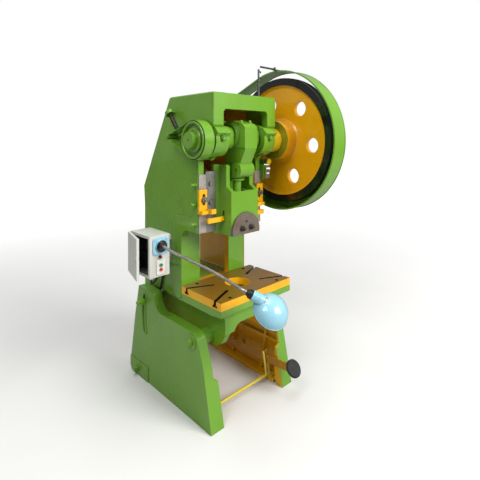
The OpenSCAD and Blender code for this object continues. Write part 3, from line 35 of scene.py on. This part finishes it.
# painted shade for the inside of the electrical box
BOX_INSIDE_SHADE = (52, 54, 54), (34, 36, 36)
DOOR_GREY = (214, 215, 208), (194, 195, 188)
BARE_DRUM = (120, 116, 108), (70, 66, 60)
BARE_NUT = (70, 66, 62), (40, 38, 36)
BARE_BLOCK = (196, 194, 188), (120, 118, 112)

# Dirt and wear, with painted shade for corners and T-slots
# painted shade for the corners of enamelled parts
CORNER_SHADE = (44, 40, 10)
# painted shade for the corners of bare metal parts
METAL_CORNER_SHADE = (16, 14, 11)
DUSTY_GREEN = (104, 122, 36)
RUBBED_EDGE = (140, 112, 60)
# painted shade for the inside of the T-slots
SLOT_SHADE = (20, 17, 12)
RUST = (122, 66, 30)

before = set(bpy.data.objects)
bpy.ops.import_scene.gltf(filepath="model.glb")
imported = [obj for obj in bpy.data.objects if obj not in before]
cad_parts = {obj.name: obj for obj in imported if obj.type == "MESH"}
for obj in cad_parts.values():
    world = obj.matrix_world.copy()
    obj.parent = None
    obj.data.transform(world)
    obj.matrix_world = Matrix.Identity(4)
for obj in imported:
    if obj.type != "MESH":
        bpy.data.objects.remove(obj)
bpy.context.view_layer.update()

scene = bpy.context.scene
scene.view_settings.view_transform = "Standard"
cam_data = bpy.data.cameras.new("camera")
cam = bpy.data.objects.new("camera", cam_data)
scene.collection.objects.link(cam)
scene.camera = cam
cam_data.sensor_width = SENSOR_MM
cam_data.lens = LENS_MM
cam_data.shift_x, cam_data.shift_y = SHIFT
cam_data.clip_end = FARTHEST
cam.location = CAMERA_AT
cam.rotation_euler = [math.radians(a) for a in CAMERA_TURN]


class Tree:
    """A material whose look is worked out from the point's own place on its node."""

    def __init__(self, name):
        self.mat = bpy.data.materials.new(name)
        self.mat.use_nodes = True
        self.nt = self.mat.node_tree
        self.bsdf = self.nt.nodes["Principled BSDF"]
        tex = self.nt.nodes.new("ShaderNodeTexCoord")
        self.co = tex.outputs["Object"]
        sep = self.nt.nodes.new("ShaderNodeSeparateXYZ")
        self.nt.links.new(self.co, sep.inputs[0])
        self.x, self.y, self.z = sep.outputs
        self._normal = None

    def link(self, value, socket):
        if isinstance(value, bpy.types.NodeSocket):
            self.nt.links.new(value, socket)
        else:
            socket.default_value = value

    def m(self, op, a, b=0.0, c=0.0, clamp=False):
        """One math node; each number may be a socket."""
        n = self.nt.nodes.new("ShaderNodeMath")
        n.operation = op
        n.use_clamp = clamp
        self.link(a, n.inputs[0])
        self.link(b, n.inputs[1])
        self.link(c, n.inputs[2])
        return n.outputs[0]

    def square(self, value):
        return self.m("MULTIPLY", value, value)

    def outside(self, mask):
        return self.m("SUBTRACT", 1.0, mask)

    def normal(self):
        """The flat face's normal in the node's own axes."""
        if self._normal is None:
            geo = self.nt.nodes.new("ShaderNodeNewGeometry")
            tr = self.nt.nodes.new("ShaderNodeVectorTransform")
            tr.vector_type = "NORMAL"
            tr.convert_from = "WORLD"
            tr.convert_to = "OBJECT"
            self.nt.links.new(geo.outputs["True Normal"], tr.inputs[0])
            sep = self.nt.nodes.new("ShaderNodeSeparateXYZ")
            self.nt.links.new(tr.outputs[0], sep.inputs[0])
            self._normal = sep.outputs
        return self._normal

    def step(self, value, edge, soft=0.001):
        """1 past the edge and 0 before it, with a slope as wide as soft."""
        return self.m("DIVIDE", self.m("SUBTRACT", value, edge), soft, clamp=True)

    def less(self, value, edge, soft=0.001):
        return self.outside(self.step(value, edge, soft))

    def both(self, *masks):
        out = masks[0]
        for other in masks[1:]:
            out = self.m("MULTIPLY", out, other)
        return out

    def either(self, *masks):
        out = masks[0]
        for other in masks[1:]:
            out = self.m("MAXIMUM", out, other)
        return out

    def mix(self, fac, a, b):
        n = self.nt.nodes.new("ShaderNodeMix")
        n.data_type = "RGBA"
        self.link(fac, n.inputs[0])
        self.link(tint(a), n.inputs[6])
        self.link(tint(b), n.inputs[7])
        return n.outputs[2]

    def noise(self, scale, detail=3.0, rough=0.5, stretch=None, seed=0.0):
        co = self.co
        if stretch or seed:
            mp = self.nt.nodes.new("ShaderNodeMapping")
            mp.inputs["Scale"].default_value = stretch or (1, 1, 1)
            mp.inputs["Location"].default_value = (seed, seed * 0.7, seed * 1.3)
            self.nt.links.new(co, mp.inputs[0])
            co = mp.outputs[0]
        n = self.nt.nodes.new("ShaderNodeTexNoise")
        n.inputs["Scale"].default_value = scale
        n.inputs["Detail"].default_value = detail
        n.inputs["Roughness"].default_value = rough
        self.nt.links.new(co, n.inputs["Vector"])
        return n.outputs["Fac"]

    def between(self, value, lo, hi, to_lo=0.0, to_hi=1.0):
        """The span from lo to hi, mapped to the span from to_lo to to_hi."""
        n = self.nt.nodes.new("ShaderNodeMapRange")
        n.clamp = True
        self.link(value, n.inputs["Value"])
        n.inputs["From Min"].default_value = lo
        n.inputs["From Max"].default_value = hi
        n.inputs["To Min"].default_value = to_lo
        n.inputs["To Max"].default_value = to_hi
        return n.outputs["Result"]

    def crevice(self, distance):
        """Near 0 in corners and 1 on open faces."""
        n = self.nt.nodes.new("ShaderNodeAmbientOcclusion")
        n.samples = 4
        n.inputs["Distance"].default_value = distance
        return n.outputs["AO"]

    def bump(self, height, distance, strength=1.0, base=None):
        n = self.nt.nodes.new("ShaderNodeBump")
        n.inputs["Distance"].default_value = distance
        n.inputs["Strength"].default_value = strength
        self.link(height, n.inputs["Height"])
        if base is not None:
            self.nt.links.new(base, n.inputs["Normal"])
        return n.outputs[0]

    def round_edges(self, radius):
        n = self.nt.nodes.new("ShaderNodeBevel")
        n.samples = 6
        n.inputs["Radius"].default_value = radius
        return n.outputs[0]

    def span(self, value, lo, hi):
        return self.m("MULTIPLY", self.step(value, lo), self.less(value, hi))

    def radius(self, y0, z0):
        """Distance from an axis along X."""
        dy = self.m("SUBTRACT", self.y, y0)
        dz = self.m("SUBTRACT", self.z, z0)
        return self.m("SQRT", self.m("ADD", self.square(dy), self.square(dz)))

    def set(self, **values):
        names = {"color": "Base Color", "rough": "Roughness", "metal": "Metallic", "normal": "Normal",
                 "coat": "Coat Weight", "coat_rough": "Coat Roughness", "spec": "Specular IOR Level",
                 "trans": "Transmission Weight", "alpha": "Alpha", "aniso": "Anisotropic",
                 "glow": "Emission Color", "glow_strength": "Emission Strength"}
        for key, value in values.items():
            socket = self.bsdf.inputs[names[key]]
            self.link(tint(value) if key in ("color", "glow") else value, socket)
        return self.mat


def lin(c):
    return c / 12.92 if c <= 0.04045 else ((c + 0.055) / 1.055) ** 2.4


def tint(value):
    """A socket as it is, or three sRGB numbers as a linear colour."""
    if isinstance(value, (tuple, list)) and len(value) == 3:
        return tuple(lin(v / 255) for v in value) + (1.0,)
    return value


def enamel(t, paint, rough=0.3, cast=1.0, edge_r=0.0025, gloss=0.7):
    """Sprayed enamel over a casting: soft mottling, painted shade darkening the corners, a slightly uneven
    coat.
    """
    color, deep = paint
    cloud = t.between(t.noise(5, 4, 0.6), 0.35, 0.7)
    fine = t.between(t.noise(38, 3, 0.55, seed=3.1), 0.4, 0.75)
    base = t.mix(t.m("MULTIPLY", cloud, 0.35), color, deep)
    base = t.mix(t.m("MULTIPLY", fine, 0.12), base, deep)
    # painted shade: ambient occlusion darkens the enamel in its corners
    corner_shade = t.between(t.crevice(0.02), 0.2, 0.75, 0.4, 0.0)
    base = t.mix(corner_shade, base, CORNER_SHADE)
    wavy = t.noise(16, 3, 0.5, seed=1.7)
    peel = t.noise(420, 2, 0.5)
    normal = t.bump(wavy, 0.001 * cast, 0.22, t.round_edges(edge_r))
    normal = t.bump(peel, 0.00006, 0.25, normal)
    rough_map = t.between(t.noise(9, 3, 0.5, seed=5), 0.3, 0.75, rough - 0.05, rough + 0.07)
    return t.set(color=base, rough=rough_map, normal=normal, coat=gloss, coat_rough=0.06, spec=0.35)


def plain_paint(name, paint, **kw):
    return enamel(Tree(name), paint, **kw)


def two_paints(t, mask, off, on):
    """One paint where the mask is off and another where it is on."""
    return [t.mix(mask, a, b) for a, b in zip(off, on)]


def bare(name, color, dark, rough=0.32, scratch=(1, 1, 1), metal=0.85, edge_r=0.001, rust=0.0):
    """Worn metal: scratches along one way, spots, rust where asked for, and painted shade darkening the
    corners.
    """
    t = Tree(name)
    grain = t.noise(90, 4, 0.6, stretch=scratch)
    spots = t.between(t.noise(14, 5, 0.65, seed=2.2), 0.45, 0.75)
    base = t.mix(t.m("MULTIPLY", spots, 0.7), color, dark)
    base = t.mix(t.m("MULTIPLY", t.between(grain, 0.4, 0.7), 0.25), base, dark)
    if rust:
        patch = t.between(t.noise(22, 5, 0.7, seed=6.4), 0.52, 0.68)
        base = t.mix(t.m("MULTIPLY", patch, rust), base, RUST)
    # painted shade: ambient occlusion darkens the metal in its corners
    base = t.mix(t.between(t.crevice(0.012), 0.2, 0.85, 0.7, 0.0), base, METAL_CORNER_SHADE)
    rough_map = t.between(grain, 0.3, 0.7, rough - 0.08, rough + 0.14)
    normal = t.bump(grain, 0.0001, 0.6, t.round_edges(edge_r))
    return t.set(color=base, rough=rough_map, metal=metal, normal=normal)


def moulded(name, color, rough=0.4, grain=600, amount=0.00006, coat=0.0):
    """Plastic or rubber with a fine grain, and painted shade darkening the corners."""
    t = Tree(name)
    shade = t.between(t.noise(30, 3, 0.5), 0.35, 0.7, 0.0, 0.18)
    darker, darkest = (tuple(int(c * k) for c in color) for k in (0.72, 0.35))
    base = t.mix(shade, color, darker)
    # painted shade: ambient occlusion darkens the plastic in its corners
    base = t.mix(t.between(t.crevice(0.01), 0.3, 0.85, 0.4, 0.0), base, darkest)
    normal = t.bump(t.noise(grain, 2, 0.5), amount, 0.6, t.round_edges(0.0008))
    rough_map = t.between(t.noise(45, 3, 0.5, seed=4), 0.3, 0.7, rough - 0.06, rough + 0.08)
    return t.set(color=base, rough=rough_map, normal=normal, coat=coat)


def frame_paint():
    """Green outside and orange inside the head, the throat, the lower box and on the throat's floor."""
    wall_x, box_wall_x, side_x = 0.1675, 0.1285, -0.19
    head_front, head_floor, head_top = -0.0275, 0.8195, 1.4023
    boss_x, boss_out, boss_back = 0.1118, 0.2, 0.113
    throat_front, throat_floor, throat_top = 0.1735, 0.5035, 0.8
    cheek_x, cheek_back = 0.0935, 0.2035
    box_top, box_front = 0.4785, -0.0705
    t = Tree("frame_paint")
    ax = t.m("ABSOLUTE", t.x)
    up = t.normal()[2]
    head = t.both(t.less(ax, wall_x), t.step(t.z, head_floor), t.step(t.y, head_front), t.less(t.z, head_top),
                  t.outside(t.both(t.less(ax, boss_out), t.step(ax, boss_x), t.less(t.y, boss_back))))
    throat = t.both(t.less(ax, wall_x), t.step(t.y, throat_front), t.step(t.z, throat_floor),
                    t.less(t.z, throat_top), t.outside(t.both(t.step(ax, cheek_x), t.less(t.y, cheek_back))))
    below = t.both(t.less(ax, box_wall_x), t.less(t.z, box_top), t.step(t.y, box_front))
    floor = t.both(t.step(up, 0.9), t.span(t.y, 0.1435, 0.26), t.less(t.z, 0.51), t.less(ax, 0.167))
    dirty = t.between(t.noise(7, 4, 0.65, seed=8), 0.52, 0.72, 0.0, 0.4)
    green_side = t.mix(t.both(t.less(t.x, side_x), dirty), GREEN[0], DUSTY_GREEN)
    paint = two_paints(t, t.either(head, throat, below, floor), (green_side, GREEN[1]), ORANGE)
    return enamel(t, paint, edge_r=0.005)


def leg_paint():
    """Green on the outer skin, orange on the web's inner face, the ribs and the bosses."""
    middle_y, middle_z = 0.36, 0.1
    web_x, skin_x = 0.2215, 0.2405
    shelf_z, front_rib_y, back_rib_y = (0.184, 0.198), (0.009, 0.072), (0.238, 0.302)
    rod_boss_yz, pedal_boss_yz = (0.49, 0.033), (0.43, 0.086)
    t = Tree("leg_paint")
    ax = t.m("ABSOLUTE", t.x)
    n_x, n_y, n_z = t.normal()
    away = t.m("ADD", t.m("MULTIPLY", n_y, t.m("SUBTRACT", t.y, middle_y)),
               t.m("MULTIPLY", n_z, t.m("SUBTRACT", t.z, middle_z)))
    flat_x = t.step(t.m("ABSOLUTE", n_x), 0.5)
    rib = t.either(t.both(t.step(t.m("ABSOLUTE", n_z), 0.9), t.span(t.z, *shelf_z)),
                   t.both(t.step(t.m("ABSOLUTE", n_y), 0.9),
                          t.either(t.span(t.y, *front_rib_y), t.span(t.y, *back_rib_y))))
    rib = t.both(rib, t.step(ax, web_x))
    boss = t.either(t.less(t.radius(*TILT_PIVOT_YZ), 0.0335), t.less(t.radius(*rod_boss_yz), 0.0235),
                    t.both(t.less(t.radius(*pedal_boss_yz), 0.0165), t.step(t.x, 0)))
    skin = t.both(t.step(away, 0.0), t.outside(flat_x), t.outside(rib), t.outside(boss))
    return enamel(t, two_paints(t, t.either(skin, t.step(ax, skin_x)), ORANGE, GREEN), edge_r=0.004)


def bolster_paint():
    """Worn dark top, T-slots painted near black as their shade, and a yellow edge."""
    top_z, slot_floor, slot_end_x, slot_end_y, hole_r = 0.5405, 0.5125, 0.2185, 0.141, 0.062
    t = Tree("bolster_paint")
    top = t.both(t.step(t.z, top_z), t.step(t.normal()[2], 0.9))
    ax = t.m("ABSOLUTE", t.x)
    ay = t.m("ABSOLUTE", t.y)
    from_hole = t.m("SQRT", t.m("ADD", t.square(t.x), t.square(t.y)))
    slot = t.both(t.less(t.z, top_z), t.step(t.z, slot_floor), t.less(ax, slot_end_x), t.less(ay, slot_end_y),
                  t.step(from_hole, hole_r))
    grain = t.noise(60, 4, 0.6, stretch=(1, 6, 1))
    steel = t.mix(t.between(t.noise(9, 5, 0.6), 0.4, 0.7), (58, 56, 42), (38, 36, 27))
    steel = t.mix(t.m("MULTIPLY", t.between(grain, 0.4, 0.7), 0.35), steel, (84, 82, 66))
    wear = t.between(t.noise(45, 4, 0.6, seed=3), 0.55, 0.7, 0.0, 0.5)
    yellow = t.mix(t.between(t.noise(12, 4, 0.6), 0.4, 0.7, 0.0, 0.5), *EDGE_YELLOW)
    yellow = t.mix(t.m("MULTIPLY", wear, t.step(t.z, 0.534, 0.008)), yellow, RUBBED_EDGE)
    color = t.mix(t.either(top, slot), yellow, steel)
    # painted shade: the T-slots' walls and floors are painted near black
    color = t.mix(slot, color, SLOT_SHADE)
    normal = t.bump(grain, 0.0002, 0.5, t.round_edges(0.002))
    return t.set(color=color, rough=t.m("ADD", 0.3, t.m("MULTIPLY", top, 0.12)),
                 metal=t.m("MULTIPLY", top, 0.2), normal=normal, coat=0.15)


def flywheel_paint():
    """Yellow web and a black rim."""
    t = Tree("flywheel_paint")
    r = t.radius(*CRANK_YZ)
    rim = t.either(t.step(r, 0.2925), t.both(t.step(r, 0.289), t.less(t.x, 0.3075)))
    return enamel(t, two_paints(t, rim, WHEEL_YELLOW, RIM_BLACK), edge_r=0.003)


def drum_paint():
    """Green, with a bare running face under the band."""
    t = Tree("drum_paint")
    running = t.both(t.step(t.radius(*CRANK_YZ), 0.0815), t.step(t.x, -0.2605))
    return enamel(t, two_paints(t, running, GREEN, BARE_DRUM))


def crank_paint():
    """Green, with a yellow collar at the clutch and a bare end nut."""
    t = Tree("crank_paint")
    collar = t.both(t.span(t.x, 0.199, 0.256), t.step(t.radius(*CRANK_YZ), 0.045))
    shaft = two_paints(t, t.step(t.x, 0.3), GREEN, BARE_NUT)
    return enamel(t, two_paints(t, collar, shaft, COLLAR_YELLOW), cast=0.2, edge_r=0.0015, gloss=0.8)


def clutch_paint():
    """Green latch with a yellow cap, a dark green spring tube and a bare block."""
    t = Tree("clutch_paint")
    cap = t.less(t.y, -0.0013)
    block = t.both(t.less(t.z, 1.0895), t.step(t.x, 0.2032))
    paint = two_paints(t, block, GREEN, BARE_BLOCK)
    paint = two_paints(t, t.step(t.z, 1.0945), paint, SPRING_GREEN)
    mat = enamel(t, two_paints(t, cap, paint, CAP_YELLOW), cast=0.2, edge_r=0.0015)
    t.link(t.both(block, t.outside(cap)), t.bsdf.inputs["Metallic"])
    return mat


def base_paint():
    """Pale blue, with a black grommet."""
    t = Tree("lamp_base_paint")
    grommet = t.less(t.y, 0.1495)
    return enamel(t, two_paints(t, grommet, BASE_BLUE, GROMMET_BLACK), rough=0.32, cast=0.2, edge_r=0.001)


def shade_paint():
    """Pale blue outside, white inside: the two sides of the dome are told apart by an ellipsoid
    between them, whose middle, axis and half sizes along and across that axis follow."""
    middle, axis = (-0.1364, -0.3431, 0.5448), (0.0595, 0.6476, -0.7597)
    half_along, half_across = 0.0622, 0.0722
    t = Tree("lamp_shade_paint")
    d = [t.m("SUBTRACT", v, c) for v, c in zip((t.x, t.y, t.z), middle)]
    part = [t.m("MULTIPLY", v, a) for v, a in zip(d, axis)]
    along = t.square(t.m("ADD", t.m("ADD", part[0], part[1]), part[2]))
    whole = t.m("ADD", t.m("ADD", t.square(d[0]), t.square(d[1])), t.square(d[2]))
    e = t.m("ADD", t.m("DIVIDE", along, half_along ** 2),
            t.m("DIVIDE", t.m("SUBTRACT", whole, along), half_across ** 2))
    paint = two_paints(t, t.less(e, 1.0), SHADE_BLUE, SHADE_WHITE)
    return enamel(t, paint, rough=0.2, cast=0.15, edge_r=0.0008, gloss=1.0)


def box_paint():
    """Pale grey, painted dark inside as the shade in the box."""
    x, y, z = (-0.3725, -0.2735), (0.1645, 0.3335), (0.6075, 0.7915)
    t = Tree("box_paint")
    inside = t.both(t.span(t.x, *x), t.span(t.y, *y), t.span(t.z, *z))
    # painted shade: the box's inside is painted dark
    return enamel(t, two_paints(t, inside, BOX_GREY, BOX_INSIDE_SHADE), rough=0.42, cast=0.1, edge_r=0.0015, gloss=0.15)


def ribbed_arm():
    """The lamp's flexible metal arm: grooves across it, painted dark in them as shade."""
    t = Tree("ribbed_arm")
    turns = t.m("SINE", t.m("MULTIPLY", t.m("ADD", t.y, t.m("MULTIPLY", t.x, -0.3)), 1300))
    groove = t.between(turns, -1.0, -0.4, 0.7, 0.0)
    base = t.mix(t.between(t.noise(12, 4, 0.6), 0.4, 0.7, 0.0, 0.6), (186, 182, 178), (120, 114, 108))
    # painted shade: the grooves' troughs are painted dark
    base = t.mix(groove, base, (40, 37, 34))
    return t.set(color=base, rough=0.28, metal=0.75, normal=t.bump(turns, 0.0006, 0.6))


def cloudy_glass():
    """The bulb's white glass."""
    t = Tree("bulb_glass")
    base = t.mix(t.between(t.noise(40, 3, 0.5), 0.4, 0.7), (250, 250, 246), (232, 234, 230))
    return t.set(color=base, rough=0.18, spec=0.6, coat=0.4)


green = plain_paint("green_enamel", GREEN)
orange = plain_paint("orange_enamel", PEDAL_ORANGE, cast=0.4)
yellow = plain_paint("yellow_enamel", STOP_YELLOW, cast=0.3)
pale_yellow = plain_paint("rod_yellow", ROD_YELLOW, cast=0.2, edge_r=0.001)
olive = plain_paint("olive_enamel", OLIVE, cast=0.3)
grey_box = plain_paint("grey_box", DOOR_GREY, rough=0.42, cast=0.1, edge_r=0.0015, gloss=0.15)
steel = bare("ground_steel", (158, 156, 152), (98, 94, 90))
stay = bare("stay_steel", (96, 98, 100), (52, 52, 52), rough=0.36, metal=0.8)
gib_steel = bare("gib_steel", (150, 146, 144), (92, 88, 86), scratch=(1, 1, 8), rough=0.34, metal=0.6,
                 rust=0.2)
gib_brown = bare("oiled_gib", (150, 118, 62), (96, 70, 30), scratch=(1, 1, 8), rough=0.4, metal=0.5, rust=0.5)
pale_steel = bare("pale_strip", (190, 184, 176), (132, 124, 114), scratch=(1, 1, 6), metal=0.6, rust=0.25)
dark = bare("dark_steel", (86, 80, 74), (42, 37, 33), rough=0.42, metal=0.6, rust=0.4)
clamp_grey = bare("clamp_steel", (122, 112, 102), (78, 68, 58), rough=0.42, metal=0.4, rust=0.35)
arm_chrome = ribbed_arm()
bronze = bare("bronze", (184, 138, 66), (120, 84, 34), rough=0.3, metal=0.9)
lining = moulded("brake_lining", (56, 48, 40), 0.8, 260, 0.0004)
belt = moulded("belt_rubber", (24, 24, 24), 0.62, 300, 0.0002)
black = moulded("black_plastic", (20, 20, 21), 0.36)
white = moulded("white_plastic", (236, 236, 230), 0.3, coat=0.2)
red = moulded("red_plastic", (222, 34, 44), 0.25, coat=0.4)
dark_red = moulded("dark_red_lens", (96, 16, 18), 0.2, coat=0.6)
jade = moulded("green_plastic", (16, 146, 78), 0.25, coat=0.4)
glass = cloudy_glass()


def paint_node(name, mat):
    obj = bpy.data.objects[name]
    obj.data.materials.clear()
    obj.data.materials.append(mat)


plan = {
    "left_leg": leg_paint(), "frame_casting": frame_paint(), "bolster_plate": bolster_paint(),
    "flywheel": flywheel_paint(), "brake_drum": drum_paint(), "crankshaft": crank_paint(),
    "clutch_trip": clutch_paint(), "lamp_base": base_paint(), "lamp_shade": shade_paint(),
    "electrical_box": box_paint(), "pedal_guide": pale_yellow,
    "motor_housing": plain_paint("motor_paint", GREEN, edge_r=0.0015),
    "knockout_bar": yellow, "knockout_stops": yellow, "stop_bolts": steel, "gib_left": gib_steel,
    "gib_right": gib_brown, "gib_strips": pale_steel, "gib_bolts": steel, "bearing_bushes": bronze,
    "flywheel_bush": bronze, "ball_cup": bronze, "brake_lining": lining, "brake_spring": dark,
    "guard_stays": stay, "drive_belts": belt, "box_door": grey_box, "contactor": black,
    "switch_plate": white, "indicator_lamp": dark_red, "gooseneck": arm_chrome, "lamp_socket": black,
    "lamp_bulb": glass, "motor_cable": belt, "hub_cover": olive, "shank_clamp": clamp_grey,
    "clamp_nuts": dark, "motor_pulley": steel, "start_button": jade, "stop_button": red,
    "pedal_bar": orange, "pedal_pad": belt, "pull_rod": orange,
}
plan["right_leg"] = plan["left_leg"]
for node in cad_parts:
    paint_node(node, plan.get(node, green))

def plane(name, size, z):
    """A square sheet of the studio."""
    mesh = bpy.data.meshes.new(name)
    h = size / 2
    mesh.from_pydata([(-h, -h, z), (h, -h, z), (h, h, z), (-h, h, z)], [], [(0, 1, 2, 3)])
    obj = bpy.data.objects.new(name, mesh)
    scene.collection.objects.link(obj)
    return obj


floor = plane("studio_floor", 40, -0.0005)
tf = Tree("floor_paint")
tf_path = tf.nt.nodes.new("ShaderNodeLightPath").outputs["Is Camera Ray"]
shade = tf.mix(tf.between(tf.noise(2, 3, 0.5), 0.3, 0.7, 0.0, 0.3), (232, 232, 230), (224, 224, 222))
far = tf.between(tf.m("SQRT", tf.m("ADD", tf.square(tf.x), tf.square(tf.y))), 1.2, 6.0)
tf.set(color=tf.mix(tf_path, (176, 176, 172), shade), rough=0.75, spec=0.1, glow=(255, 255, 255),
       glow_strength=tf.m("MULTIPLY", tf.m("MULTIPLY", tf_path, far), 0.9))
floor.data.materials.append(tf.mat)

world = bpy.data.worlds.new("studio")
scene.world = world
world.use_nodes = True
wn = world.node_tree
bg = wn.nodes["Background"]
path = wn.nodes.new("ShaderNodeLightPath")
pick = wn.nodes.new("ShaderNodeMix")
pick.data_type = "RGBA"
pick.inputs[6].default_value = (0.33, 0.33, 0.34, 1)
pick.inputs[7].default_value = (1, 1, 1, 1)
wn.links.new(path.outputs["Is Camera Ray"], pick.inputs[0])
wn.links.new(pick.outputs[2], bg.inputs["Color"])
bg.inputs["Strength"].default_value = 1.0


def area(name, place, aim, size, power, color=(1, 1, 1)):
    """A soft rectangular lamp: place and aim in metres, power in watts."""
    light = bpy.data.lights.new(name, "AREA")
    light.shape = "RECTANGLE"
    light.size, light.size_y = size
    light.energy = power
    light.color = color
    obj = bpy.data.objects.new(name, light)
    obj.location = place
    obj.rotation_euler = (Vector(aim) - Vector(place)).to_track_quat("-Z", "Y").to_euler()
    scene.collection.objects.link(obj)


area("key", (1.1, -3.7, 2.7), (0, 0.1, 0.8), (2.0, 2.0), 190, (1, 0.985, 0.96))
area("fill", (-2.6, -1.0, 3.6), (0.2, 0, 1.2), (1.8, 1.8), 60, (1, 0.99, 0.97))
area("top", (0.1, 0.2, 4.4), (0, 0.1, 0.8), (2.5, 2.5), 70)
